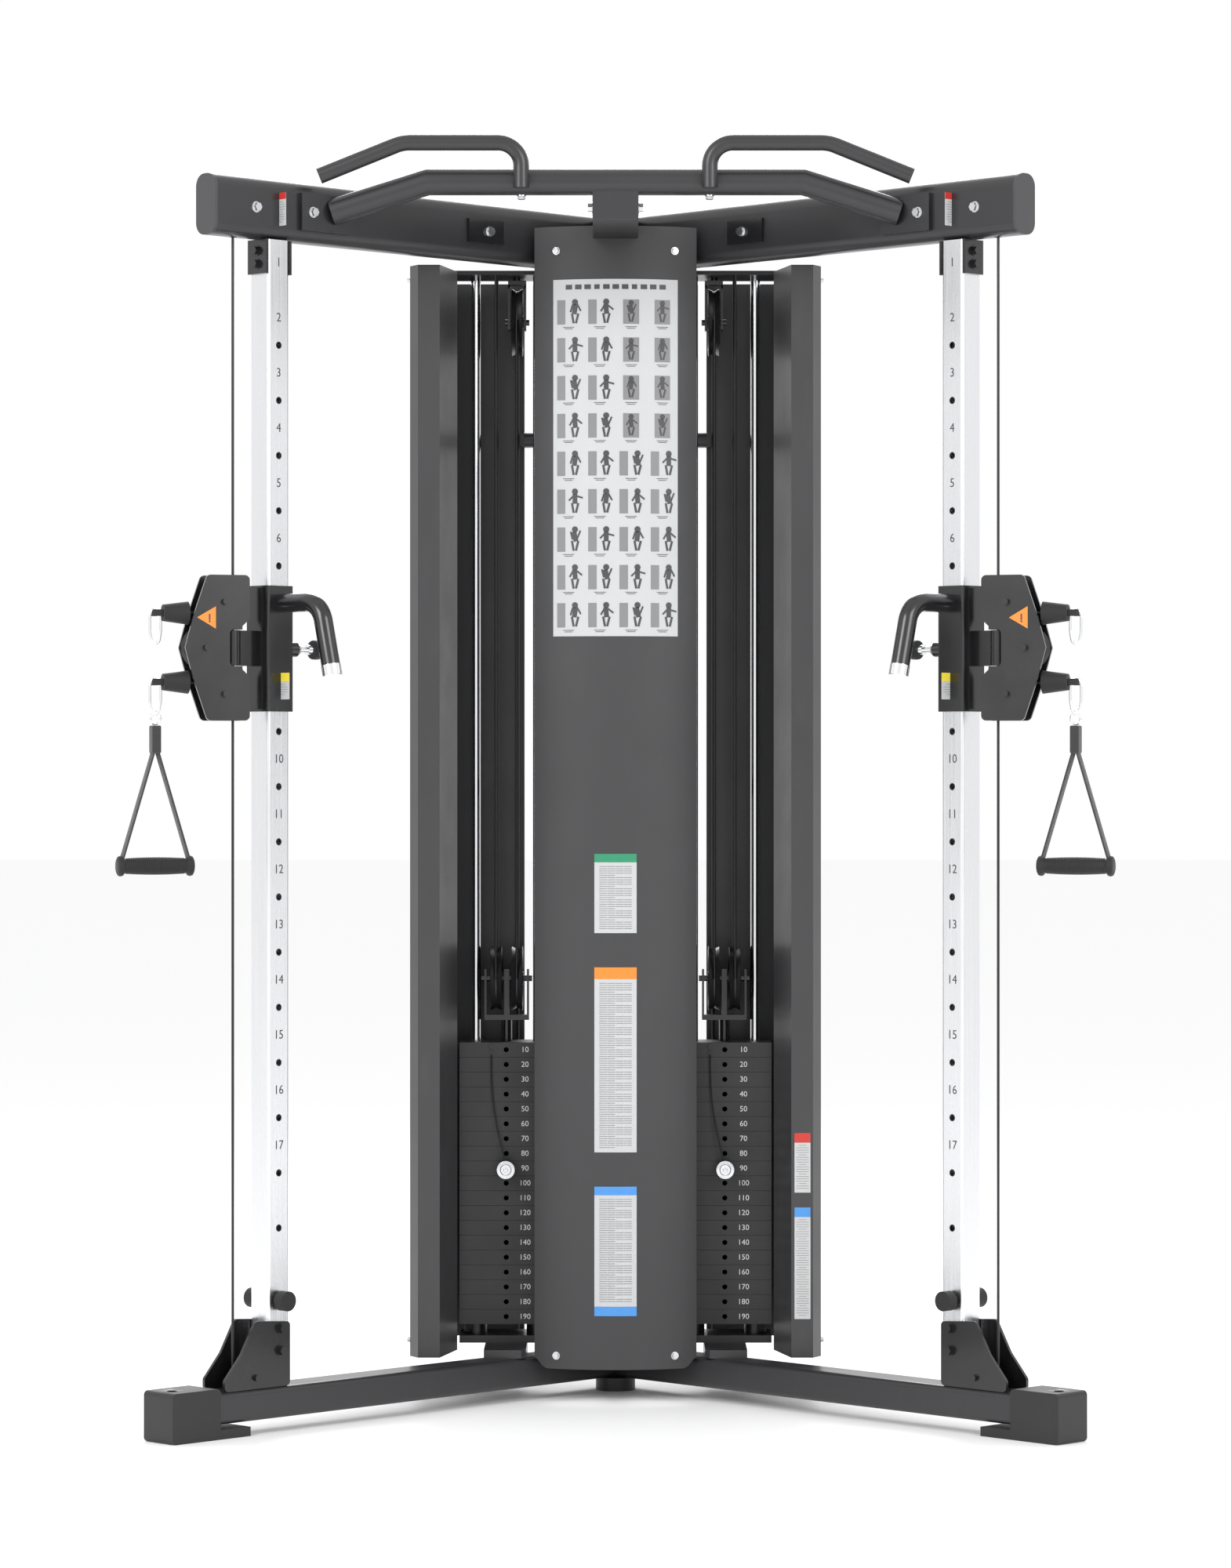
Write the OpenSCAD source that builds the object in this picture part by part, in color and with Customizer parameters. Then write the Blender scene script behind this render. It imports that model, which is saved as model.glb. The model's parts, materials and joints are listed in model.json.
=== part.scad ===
// Functional trainer: a V frame with two numbered posts, two weight stacks and a pull-up bar.
// Origin: on the floor under the point where the two base beams meet. +Y is the back.
// Each side is drawn on the right (+X) and mirrored for the left.

/* [Frame] */
// Distance along a beam from the apex to the post's centre
post_reach = 888; // [800:1:1000]
// Width of the square post
post_w = 50; // [40:1:60]
// Wall of the square post
post_wall = 3; // [2:0.5:5]
// Height of the underside of the top beams
beam_z = 2159; // [2080:1:2300]
// Height of a top beam's section
beam_h = 110; // [90:1:125]
// Width of a top beam's section
beam_w = 53; // [45:1:65]
// How far a top beam runs past the post's centre
beam_tail = 146; // [125:1:200]
// Width of a base beam
base_w = 72; // [60:1:80]
// Height of a base beam's section
base_h = 57; // [45:1:65]
// Height of a base beam's underside above the floor
base_z = 25; // [20:1:35]
// How far a base beam runs past the post's centre, without its foot cap
base_tail = 150; // [140:1:220]
// Wall of the beams
beam_wall = 4; // [3:0.5:6]
// Height of the foot caps
foot_h = 91; // [86:1:110]
// Side of the square centre column
column_w = 80; // [60:1:90]

/* [Post holes] */
// Distance between one carriage position and the next
hole_pitch = 100; // [80:1:110]
// Number of carriage positions
positions = 17; // [12:1:17]
// Radius of a hole in the post
hole_r = 5.5; // [4:0.1:7]
// Height of the highest carriage position
pin_top_z = 2118; // [2060:1:2130]
// Position that the carriages are stored at, counted from the top
stored_position = 8; // [5:1:11]

/* [Pull-up bar] */
// Outer radius of the main bar
bar_r = 24; // [18:0.5:28]
// Outer radius of the raised grips
raised_r = 14.5; // [12:0.5:18]
// Height of the main bar's middle above the top beams' underside
bar_rise = 115; // [100:1:140]
// How much lower the main bar's ends are than its middle
bar_drop = 56; // [40:1:80]
// Distance of the main bar in front of the apex
bar_out = 560; // [500:1:620]
// Height of the raised grips above the main bar's middle
raised_rise = 68; // [55:1:90]

/* [Panel and covers] */
// Width of the front panel
panel_w = 308; // [260:1:330]
// How far the front panel bows forward
panel_bow = 40; // [25:1:55]
// Thickness of the panel and the covers
sheet = 3; // [2:0.5:4]
// Distance of the panel's side edges in front of the apex
panel_out = 212; // [206:1:260]
// Width from the machine's middle to the outer wall of a cover
cover_x = 388; // [360:1:420]

/* [Weight stacks] */
// Distance of a stack's middle from the machine's middle
stack_x = 210; // [200:1:225]
// Width of a weight plate
plate_w = 180; // [160:1:190]
// Depth of a weight plate
plate_d = 113; // [95:1:120]
// Height of one weight plate, with the small gap above it
plate_pitch = 28.5; // [22:0.5:30]
// Number of plates, the head plate included
plate_count = 19; // [12:1:19]
// Plate that the selector pin is in, counted from the top
pinned_plate = 9; // [2:1:11]
// Height of the lowest plate's underside
stack_z = 134; // [120:1:160]
// Radius of a guide rod
rod_r = 9.5; // [7:0.5:12]
// Distance between a stack's two guide rods
rod_gap = 120; // [100:1:126]
// Radius of the selector stem
stem_r = 11; // [9:0.5:14]
// Radius of the selector pin
pin_r = 4.5; // [3.5:0.1:6]

/* [Carriage] */
// Wall of the carriage's sleeve
sleeve_wall = 5.4; // [4:0.1:8]
// Height of the carriage's sleeve
sleeve_h = 228; // [190:1:240]
// Distance from the post's centre to the swivel axis of the head
swivel_out = 88; // [84:1:104]
// Height of the head's cheek plates
cheek_h = 262; // [240:1:280]
// Angle at rest between the head and the beam
head_turn = 25; // [0:1:40]
// Radius of the grip tube
grip_r = 17; // [14:0.5:20]

/* [Cables] */
// Radius of the steel cable's jacket
cable_r = 2.5; // [2:0.1:3.5]

/* [Hidden] */
$fn = 48;

// Clearances.
slide_gap = 0.6;      // between the post and the sleeve
run_gap = 0.05;       // between an axle and its sheave
plate_gap = 1;        // between a plate and its rods
clear = 0.5;          // between a cable and what it runs past
weld = 0.1;           // step where a bent tube meets a straight one

// Frame places.
base_top = base_z + base_h;
beam_mid = beam_z + beam_h / 2;
beam_end = post_reach + beam_tail;
base_end = post_reach + base_tail;
far = 3000;
cap_t = 6;
foot_len = 112;
foot_w = base_w + 8;
anchor_r = 8;
anchor_x = foot_len - 32;
column_y = -50;

// Weight stack places.
stack_y = -50;
plate_h = plate_pitch - 0.5;
stack_top = stack_z + plate_pitch * plate_count;
pin_z = stack_top - plate_pitch * (pinned_plate - 0.5);
cushion_h = 22;
support_t = 14;
rod_top = beam_z - 9;
stack_front = stack_y - plate_d / 2;

// Sheaves.
sheave_r = 62;
sheave_groove = 57;
sheave_w = 24;
axle_r = 6;
lift_z = stack_top + 121;
lift_step = 24;
upper_x = stack_x - lift_step;
upper_groove = sheave_groove + 3;
upper_r = upper_groove + 5;
upper_y = stack_y - sheave_groove + upper_groove;
upper_z = beam_z - 95;

// Carriage places.
sleeve_in = post_w / 2 + slide_gap;
sleeve_out = sleeve_in + sleeve_wall;
carriage_z = pin_top_z - hole_pitch * (stored_position - 1);
swivel_u = post_reach + swivel_out;
knuckle_r = 14;
knuckle_h = 64;
cheek_y = 19;
cheek_t = 6;
roller_groove = 18;
roller_r = 23;
roller_x = roller_groove + cable_r + clear;
roller_z = 83;
head_sheave_x = 55;
head_sheave_r = 39;
stop_x = 84;
stop_len = 46;
eye_x = stop_x + stop_len + 14;

// Base bracket places.
base_roller_r = 31;
base_roller_groove = 26;
base_axle_u = swivel_u - cable_r - clear - base_roller_groove;
base_axle_z = base_top + 20;
bracket_t = 6;

// ---------- helpers ----------

// The right side as it is, the left side mirrored.
module side(s) {
    mirror([s < 0 ? 1 : 0, 0, 0]) children();
}

module both() {
    side(-1) children();
    side(1) children();
}

// Along the right beam: X runs outward from the apex, Y to the outer back.
module arm() {
    rotate([0, 0, -45]) children();
}

// The right head: origin on the swivel axis at the carriage's height, X outward.
module head_frame() {
    arm() translate([swivel_u, 0, carriage_z]) rotate([0, 0, head_turn]) children();
}

// A shape drawn in X and Z, extruded from y0 to y1.
module wall_y(y0, y1) {
    translate([0, y1, 0]) rotate([90, 0, 0]) linear_extrude(y1 - y0) children();
}

// A shape drawn in Y and Z, extruded from x0 to x1.
module wall_x(x0, x1) {
    translate([x0, 0, 0]) rotate([90, 0, 90]) linear_extrude(x1 - x0) children();
}

module box(low, high) {
    translate(low) cube(high - low);
}

module rod_x(x0, x1, r, y = 0, z = 0) {
    translate([x0, y, z]) rotate([0, 90, 0]) cylinder(h = x1 - x0, r = r);
}

module rod_y(y0, y1, r, x = 0, z = 0) {
    translate([x, y1, z]) rotate([90, 0, 0]) cylinder(h = y1 - y0, r = r);
}

module rod_z(z0, z1, r, x = 0, y = 0) {
    translate([x, y, z0]) cylinder(h = z1 - z0, r = r);
}

// A rectangle with true round corners.
module round_rect(w, h, r) {
    square([w - 2 * r, h], center = true);
    square([w, h - 2 * r], center = true);
    for (x = [-1, 1], y = [-1, 1])
        translate([x * (w / 2 - r), y * (h / 2 - r)]) circle(r);
}

// The corner b between a and c, rounded to radius r by a few points on its arc.
function unit(v) = v / norm(v);
function corner(a, b, c, r) =
    let (p = unit(a - b), q = unit(c - b))
    let (half = acos(max(-1, min(1, p * q))) / 2)
    let (reach = min(r / tan(half), norm(a - b) * 0.49, norm(c - b) * 0.49))
    let (radius = reach * tan(half), centre = b + unit(p + q) * radius / sin(half))
    let (from = b + p * reach - centre, to = b + q * reach - centre)
    [for (i = [0 : 5]) let (t = i / 5, m = from * (1 - t) + to * t) centre + unit(m) * radius];
function rounded(pts, r) =
    let (n = len(pts))
    [for (i = [0 : n - 1]) each corner(pts[(i + n - 1) % n], pts[i], pts[(i + 1) % n], r)];

// The outline of a bent sheet of thickness t along the points of a path.
function turn_left(v) = [-v[1], v[0]];
function mitre(path, i) =
    let (n = len(path))
    let (before = i > 0 ? turn_left(unit(path[i] - path[i - 1])) : undef)
    let (after = i < n - 1 ? turn_left(unit(path[i + 1] - path[i])) : undef)
    let (p = is_undef(before) ? after : before, q = is_undef(after) ? before : after)
    (p + q) / (1 + p * q);
function sheet_outline(path, t) =
    let (n = len(path))
    concat(path, [for (i = [n - 1 : -1 : 0]) path[i] + mitre(path, i) * t]);

// A grooved wheel about Z: rim radius, groove radius, width and bore.
module sheave(rim, groove, w, bore) {
    web = w * 0.28;
    rotate_extrude() polygon([
        [bore, -w / 2], [bore + 7, -w / 2], [bore + 7, -web], [groove * 0.86, -web],
        [groove * 0.9, -w / 2 + 1], [rim - 1, -w / 2 + 1], [rim, -w / 2 + 2],
        [groove + 1, -cable_r], [groove, -cable_r * 0.5], [groove, cable_r * 0.5],
        [groove + 1, cable_r], [rim, w / 2 - 2], [rim - 1, w / 2 - 1],
        [groove * 0.9, w / 2 - 1], [groove * 0.86, web], [bore + 7, web],
        [bore + 7, w / 2], [bore, w / 2]
    ]);
}

// A bolt head with its washer, facing -Y at the origin.
module bolt_head(r) {
    rod_y(-1.5, 0, r * 1.25);
    translate([0, -1.5, 0]) rotate([90, 0, 0]) cylinder(h = r * 0.9, r = r, $fn = 6);
}

// ---------- frame ----------

// Everything on the right of the machine's middle plane.
module right_half() {
    box([0, -far, -far], [far, far, far]);
}

module base_beam() {
    color("#2b2b2e") difference() {
        intersection() {
            arm() translate([-base_w, 0, base_z + base_h / 2]) rotate([90, 0, 90])
                linear_extrude(base_end + base_w) difference() {
                    round_rect(base_w, base_h, 10);
                    round_rect(base_w - 2 * beam_wall, base_h - 2 * beam_wall, 6);
                }
            right_half();
        }
        // The slot that the base sheave and the cable dip into.
        arm() box([base_axle_u - base_roller_r - 2, -9, base_top - 2 * beam_wall],
                  [swivel_u + cable_r + 4, 9, base_top + 1]);
    }
}

// The foot's cap slides over the beam's end and carries the anchor hole.
module foot_cap() {
    color("#202022") arm() translate([base_end, 0, 0]) difference() {
        union() {
            wall_y(-foot_w / 2, foot_w / 2)
                polygon(rounded([[0, foot_h], [foot_len, foot_h], [foot_len, 0], [0, 0]], 8));
            // The pad runs back under the beam.
            box([-70, -foot_w / 2, 0], [12, foot_w / 2, base_z - 8]);
        }
        rod_z(-1, foot_h + 1, anchor_r, anchor_x);
        rod_z(foot_h - 6, foot_h + 1, 17, anchor_x);
    }
}

module foot_caps() {
    both() foot_cap();
}

module centre_foot() {
    color("#202022") {
        rod_z(0, base_z, 38, 0, -34);
    }
}

module centre_column() {
    color("#2b2b2e") translate([0, column_y, base_top]) difference() {
        linear_extrude(beam_z - base_top) round_rect(column_w, column_w, 8);
        translate([0, 0, -1]) linear_extrude(beam_z - base_top + 2)
            round_rect(column_w - 2 * beam_wall, column_w - 2 * beam_wall, 5);
    }
}

module top_beam() {
    color("#2b2b2e") difference() {
        intersection() {
            arm() translate([-beam_w, 0, beam_mid]) rotate([90, 0, 90])
                linear_extrude(beam_end + beam_w) difference() {
                    round_rect(beam_w, beam_h, beam_w * 0.42);
                    round_rect(beam_w - 2 * beam_wall, beam_h - 2 * beam_wall, beam_w * 0.34);
                }
            right_half();
        }
        // The hole that the cable leaves by.
        arm() rod_z(beam_z - 1, beam_z + 3 * beam_wall, cable_r + 5, swivel_u);
    }
}

module beam_caps() {
    color("#4a4a4d") both() arm() translate([beam_end, 0, beam_mid]) rotate([90, 0, 90])
        linear_extrude(cap_t) round_rect(beam_w, beam_h, beam_w * 0.42);
}

module post() {
    color("#c9cacc") difference() {
        arm() translate([post_reach, 0, base_top]) linear_extrude(beam_z - base_top) difference() {
            round_rect(post_w, post_w, 5);
            round_rect(post_w - 2 * post_wall, post_w - 2 * post_wall, 3);
        }
        for (i = [0 : positions - 1]) {
            // The pin's hole, in the face towards the column.
            arm() rod_x(post_reach - post_w / 2 - 1, post_reach - 5, hole_r, 0,
                        pin_top_z - hole_pitch * i);
            // The sight hole half a pitch lower, in the inner front face.
            arm() rod_y(-post_w / 2 - 1, -5, hole_r, post_reach,
                        pin_top_z - hole_pitch * (i + 1.5));
        }
    }
}

module base_bracket() {
    y0 = post_w / 2;
    u = post_reach;
    outline = rounded([[u - 22, base_top], [u - 22, base_top + 116], [u + 60, base_top + 122],
                       [u + 94, base_top + 64], [u + 133, base_top + 20],
                       [u + 133, base_top]], 8);
    color("#1b1b1d") arm() {
        for (y = [-y0 - bracket_t, y0])
            difference() {
                wall_y(y, y + bracket_t) polygon(outline);
                rod_y(y - 1, y + bracket_t + 1, axle_r, base_axle_u, base_axle_z);
            }
        // Axle and spacers of the base sheave.
        rod_y(-y0 - bracket_t - 6, y0 + bracket_t + 6, axle_r, base_axle_u, base_axle_z);
    }
    color("#c9cacc") arm() for (z = [base_top + 65, base_top + 105])
        translate([post_reach, -y0 - bracket_t, z]) bolt_head(9);
}

module post_bumpers() {
    z = base_top + 155;
    color("#1a1a1a") both() arm() for (k = [-1, 1])
        translate([post_reach, 0, z]) rotate([k * 90, 0, 0])
            translate([0, 0, post_w / 2]) {
                cylinder(h = 7, r = 10);
                translate([0, 0, 7]) cylinder(h = 20, r = 18);
            }
}

// Plates that join the posts to the top beams, and plates at the bar's ends.
module bracket_plates() {
    color("#1b1b1d") both() arm() {
        for (u = [post_reach - post_w / 2 - 6, post_reach + post_w / 2])
            box([u, -post_w / 2, beam_z - 62], [u + 6, post_w / 2, beam_z]);
        for (z = [beam_z - 20, beam_z - 44])
            translate([post_reach + post_w / 2 + 6, 0, z]) rotate([0, 0, 90]) bolt_head(8);
        // Gusset on the beam beside the front panel.
        box([330, -beam_w / 2 - 5, beam_mid - 22], [420, -beam_w / 2, beam_mid + 22]);
    }
}

// ---------- pull-up bar ----------

bar_z = beam_z + bar_rise;
bar_flat = 344;
bar_end_x = 520;
bar_fall = atan(bar_drop / (bar_end_x - bar_flat));
raised_x = 172;
raised_z = bar_z + raised_rise;

module pull_up_bar() {
    color("#2b2b2e") translate([0, -bar_out, 0]) {
        difference() {
            union() {
                rod_x(-bar_flat, bar_flat, bar_r, 0, bar_z);
                both() translate([bar_flat, 0, bar_z]) {
                    sphere(bar_r + weld);
                    rotate([0, 90 + bar_fall, 0])
                        cylinder(h = (bar_end_x - bar_flat) / cos(bar_fall), r = bar_r);
                }
            }
            // The ends are cut to lie against their plates on the beams.
            both() translate([0, bar_out, 0]) arm()
                box([0, -beam_w / 2 - 8, bar_z - 200], [far, far, bar_z + 200]);
        }
        // Raised grips, welded to the front of the bar.
        both() raised_grip();
    }
    // End plates on the beams.
    color("#2b2b2e") both() arm() {
        u = bar_out * sqrt(2);
        box([u - 70, -beam_w / 2 - 8, beam_mid - 34], [u + 48, -beam_w / 2, beam_mid + 34]);
    }
}

// A tube that rises from the bar, turns outward and then slopes down.
module raised_grip() {
    bend = 42;
    y = -bar_r - raised_r + 5;
    turn = 22;
    bend2 = 70;
    slope_x = 375;
    slope_len = 150;
    translate([raised_x, y, 0]) {
        rod_z(bar_z - 14, raised_z - bend, raised_r);
        translate([bend, 0, raised_z - bend]) rotate([90, 0, 0])
            rotate_extrude(angle = 90, start = 90) translate([bend, 0]) circle(raised_r - weld);
    }
    translate([0, y, 0]) {
        rod_x(raised_x + bend, slope_x, raised_r, 0, raised_z);
        translate([slope_x, 0, raised_z - bend2]) rotate([90, 0, 0])
            rotate_extrude(angle = turn, start = 90 - turn) translate([bend2, 0]) circle(raised_r - weld);
        translate([slope_x + bend2 * sin(turn), 0, raised_z - bend2 * (1 - cos(turn))])
            rotate([0, 90 + turn, 0]) cylinder(h = slope_len, r = raised_r);
    }
}

// The strut from the apex that holds the bar's middle.
strut_w = 84;
strut_z = bar_z - bar_r - 44;

module bar_strut() {
    w = strut_w;
    z0 = strut_z;
    color("#232325") difference() {
        box([-w / 2, -bar_out - 16, z0], [w / 2, -beam_w * 0.9, bar_z - bar_r + 8]);
        translate([0, -bar_out, 0]) rod_x(-w, w, bar_r, 0, bar_z);
        // It is hollow, and cut where the beams meet it.
        box([-w / 2 + 5, -bar_out + 20, z0 + 5], [w / 2 - 5, 10, bar_z - bar_r + 3]);
        both() arm() box([-far, -beam_w / 2, -far], [far, beam_w / 2, far]);
    }
}

// ---------- panel, labels and covers ----------

panel_r = (pow(panel_w / 2, 2) + pow(panel_bow, 2)) / (2 * panel_bow);
panel_cy = -panel_out - panel_bow + panel_r;
panel_z0 = 63;
panel_z1 = beam_z + 70;

// A slice of the bowed panel between two radii and two sides.
module panel_slice(r0, r1, x0, x1) {
    intersection() {
        translate([0, panel_cy]) difference() {
            circle(r1, $fn = 180);
            circle(r0, $fn = 180);
        }
        translate([x0, panel_cy - r1 - 1]) square([x1 - x0, r1 - panel_cy - panel_out + 2]);
    }
}

module front_panel() {
    half = panel_w / 2;
    color("#38383a") difference() {
        translate([0, 0, panel_z0]) linear_extrude(panel_z1 - panel_z0)
            panel_slice(panel_r - sheet, panel_r, -half, half);
        // The lower corners are cut back over the base beams.
        both() translate([half, 0, panel_z0]) rotate([90, 0, 0]) linear_extrude(far)
            polygon([[-26, -1], [1, -1], [1, 22], [-6, 16], [-16, 4]]);
        // The top is notched for the bar's strut.
        box([-strut_w / 2 - clear, -far, strut_z - clear],
            [strut_w / 2 + clear, 0, panel_z1 + 1]);
    }
    // Standoffs to the column.
    color("#232325") for (z = [panel_z0 + 40, (panel_z0 + panel_z1) / 2, beam_z - 60])
        box([-20, panel_cy - panel_r + sheet / 2, z],
            [20, column_y - column_w / 2, z + 40]);
}

placard_w = 236;
placard_z = [1452, 2128];
label_w = 80;
label_z = [[890, 1040], [475, 825], [165, 410]];

module panel_labels() {
    skin = 0.8;
    color("#b9babc") {
        translate([0, 0, placard_z[0]]) linear_extrude(placard_z[1] - placard_z[0])
            panel_slice(panel_r, panel_r + skin, -placard_w / 2, placard_w / 2);
        for (z = label_z)
            translate([0, 0, z[0]]) linear_extrude(z[1] - z[0])
                panel_slice(panel_r, panel_r + skin, -label_w / 2, label_w / 2);
    }
}

cover_back = 72;
cover_front = -300;
cover_in = 178;
cover_nose = 331;
cover_lip = [302, -170];
cover_z0 = base_top + 10;
cover_z1 = beam_z - 9;

module cover() {
    path = [cover_lip, [cover_nose, cover_front], [cover_x - 16, cover_front],
            [cover_x, cover_front + 30], [cover_x, cover_back - 22],
            [cover_x - 22, cover_back], [cover_in, cover_back]];
    color("#3c3c3f") translate([0, 0, cover_z0]) linear_extrude(cover_z1 - cover_z0)
        polygon(sheet_outline(path, sheet));
}

// Tubes behind the column tie the two covers together.
module cover_links() {
    link_y = 30;
    link_r = 15;
    color("#232325") for (z = [420, 1842]) {
        rod_x(-cover_in, cover_in, link_r, link_y, z);
        box([-30, column_y + column_w / 2, z - 12], [30, link_y - 8, z + 12]);
        both() box([cover_in - 10, link_y - 4, z - 12],
                   [cover_in + 8, cover_back - sheet, z + 12]);
    }
}

// ---------- weight stacks ----------

rod_places = [-rod_gap / 2, rod_gap / 2];

module stack_supports() {
    base = stack_z - cushion_h;
    inner = column_w / 2;
    color("#232325") both() {
        // Base plate with the box that ties it to the base beam.
        difference() {
            box([stack_x - plate_w / 2, stack_front, base - support_t],
                [stack_x + plate_w / 2, stack_y + plate_d / 2, base]);
            for (x = rod_places)
                rod_z(base - support_t - 1, base + 1, rod_r, stack_x + x, stack_y);
        }
        difference() {
            box([stack_x - 40, -230, base - support_t - 40],
                [stack_x + 40, -10, base - support_t]);
            arm() box([-far, -base_w / 2, -far], [far, far, base_top]);
            arm() box([-far, -far, -far], [far, -base_w / 2, far]);
        }
        difference() {
            box([stack_x - 40, -112, base_z + 15], [stack_x + 40, -10, base_top]);
            arm() box([-far, -far, -far], [far, base_w / 2, far]);
        }
        // Top plate that holds the rods, the sheave's hanger and the fixed cables.
        difference() {
            box([inner, stack_y - 62, rod_top], [cover_x - 8, stack_y + 62, beam_z - 1]);
            for (x = rod_places)
                rod_z(rod_top - 1, beam_z + 1, rod_r, stack_x + x, stack_y);
            translate([0, column_y, 0]) linear_extrude(far) round_rect(column_w, column_w, 8);
        }
    }
    color("#151515") both() for (x = rod_places)
        translate([stack_x + x, stack_y, base]) difference() {
            cylinder(h = cushion_h, r = 22);
            translate([0, 0, -1]) cylinder(h = cushion_h + 2, r = rod_r);
        }
}

module guide_rods() {
    color("#d5d6d8") both() for (x = rod_places)
        rod_z(stack_z - cushion_h - support_t, rod_top + 8, rod_r, stack_x + x, stack_y);
}

// One weight plate with its rod bores, stem bore and pin hole.
module weight_plate(z, hole) {
    difference() {
        box([stack_x - plate_w / 2, stack_front, z],
            [stack_x + plate_w / 2, stack_y + plate_d / 2, z + plate_h]);
        for (x = rod_places)
            rod_z(z - 1, z + plate_h + 1, rod_r + plate_gap, stack_x + x, stack_y);
        rod_z(z - 1, z + plate_h + 1, hole, stack_x, stack_y);
        rod_y(stack_front - 1, stack_y, pin_r + 0.4, stack_x, z + plate_pitch / 2);
    }
}

module lower_plates() {
    color("#2e2e30") for (i = [0 : plate_count - pinned_plate - 1])
        weight_plate(stack_z + i * plate_pitch, stem_r + plate_gap);
}

module lifted_plates(s) {
    // The head plate fits the stem closely, the others slide on it.
    color("#2e2e30") for (i = [plate_count - pinned_plate : plate_count - 1])
        weight_plate(stack_z + i * plate_pitch,
                     stem_r + (i == plate_count - 1 ? run_gap : plate_gap));
    // The selector stem, with a pin hole at every plate.
    color("#8a8a8c") difference() {
        rod_z(stack_z + 2, stack_top - 1, stem_r, stack_x, stack_y);
        for (i = [0 : plate_count - 1])
            rod_y(stack_y - 2 * stem_r, stack_y + 2 * stem_r, pin_r + 0.4, stack_x,
                  stack_z + (i + 0.5) * plate_pitch);
    }
    // Eyelets for the pin's lanyard, left of the hole on both stacks.
    color("#e8e8e8") for (z = [stack_top - 8, stack_top - 22])
        rod_y(stack_front - 3, stack_front, 5, stack_x - 28 * s, z);
}

module lift_block() {
    outer = lift_step + sheave_w / 2 + 3;
    floor_z = lift_z - sheave_r - 18;
    color("#1f1f21") {
        rod_z(stack_top - 0.5, floor_z, 10, stack_x, stack_y);
        box([stack_x - outer - 4, stack_y - 16, floor_z],
            [stack_x + outer + 4, stack_y + 16, floor_z + 10]);
        for (x = [-outer - 4, -5, outer])
            difference() {
                box([stack_x + x, stack_y - 16, floor_z + 10],
                    [stack_x + x + (x == -5 ? 10 : 4), stack_y + 16, lift_z + 18]);
                rod_x(stack_x + x - 1, stack_x + x + 11, axle_r, stack_y, lift_z);
            }
        rod_x(stack_x - outer - 10, stack_x + outer + 10, axle_r, stack_y, lift_z);
    }
}

module lift_sheaves() {
    color("#1a1a1c") for (k = [-1, 1])
        translate([stack_x + k * (lift_step - 4), stack_y, lift_z]) rotate([0, 90, 0])
            sheave(sheave_r, sheave_groove, sheave_w, axle_r + run_gap);
}

module upper_sheave() {
    color("#1a1a1c") translate([upper_x + 4, upper_y, upper_z]) rotate([0, 90, 0])
        sheave(upper_r, upper_groove, sheave_w, axle_r + run_gap);
}

// Two straps hang the upper sheave from the top plate by a bolt.
module sheave_hangers() {
    x0 = upper_x + 4;
    gap = sheave_w / 2 + 1.5;
    color("#1b1b1d") both() {
        for (k = [-1, 1])
            difference() {
                wall_x(x0 + (k > 0 ? gap : -gap - 4), x0 + (k > 0 ? gap + 4 : -gap))
                    polygon(rounded([[upper_y - 17, upper_z - 17], [upper_y + 17, upper_z - 17],
                                     [upper_y + 14, rod_top - 14], [upper_y - 14, rod_top - 14]],
                                    8));
                rod_x(x0 - 30, x0 + 30, axle_r, upper_y, upper_z);
            }
        box([x0 - gap - 4, upper_y - 14, rod_top - 14], [x0 + gap + 4, upper_y + 14, rod_top - 6]);
        rod_z(rod_top - 6, rod_top, 8, x0, upper_y);
        rod_x(x0 - gap - 10, x0 + gap + 10, axle_r, upper_y, upper_z);
    }
}

// The cable runs between the lifted block and the top.
module stack_cable() {
    x1 = stack_x + lift_step - 4;
    x0 = stack_x - lift_step + 4;
    y0 = stack_y - sheave_groove - cable_r - clear;
    y1 = stack_y + sheave_groove + cable_r + clear;
    color("#101010") {
        for (y = [y0, y1])
            rod_z(lift_z + 1, rod_top, cable_r, x1, y);
        rod_z(lift_z + 1, upper_z, cable_r, x0, y0);
    }
}

// Cables that keep their length: beside each post, and behind each stack.
module fixed_cables() {
    color("#101010") both() {
        arm() rod_z(base_axle_z, beam_z + 12, cable_r, swivel_u);
        rod_z(base_top + 4, upper_z, cable_r, upper_x + 4,
              upper_y + upper_groove + cable_r + clear);
    }
}

module selector_pin() {
    color("#d5d6d8") {
        rod_y(stack_front - 12, stack_y + stem_r, pin_r, stack_x, pin_z);
        rod_y(stack_front - 20, stack_front - 12, 9, stack_x, pin_z);
        rod_y(stack_front - 42, stack_front - 20, 17, stack_x, pin_z);
    }
}

module base_sheave() {
    color("#1a1a1c") arm() translate([base_axle_u, 0, base_axle_z]) rotate([90, 0, 0])
        sheave(base_roller_r, base_roller_groove, 14, axle_r + run_gap);
}

// ---------- carriage ----------

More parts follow.
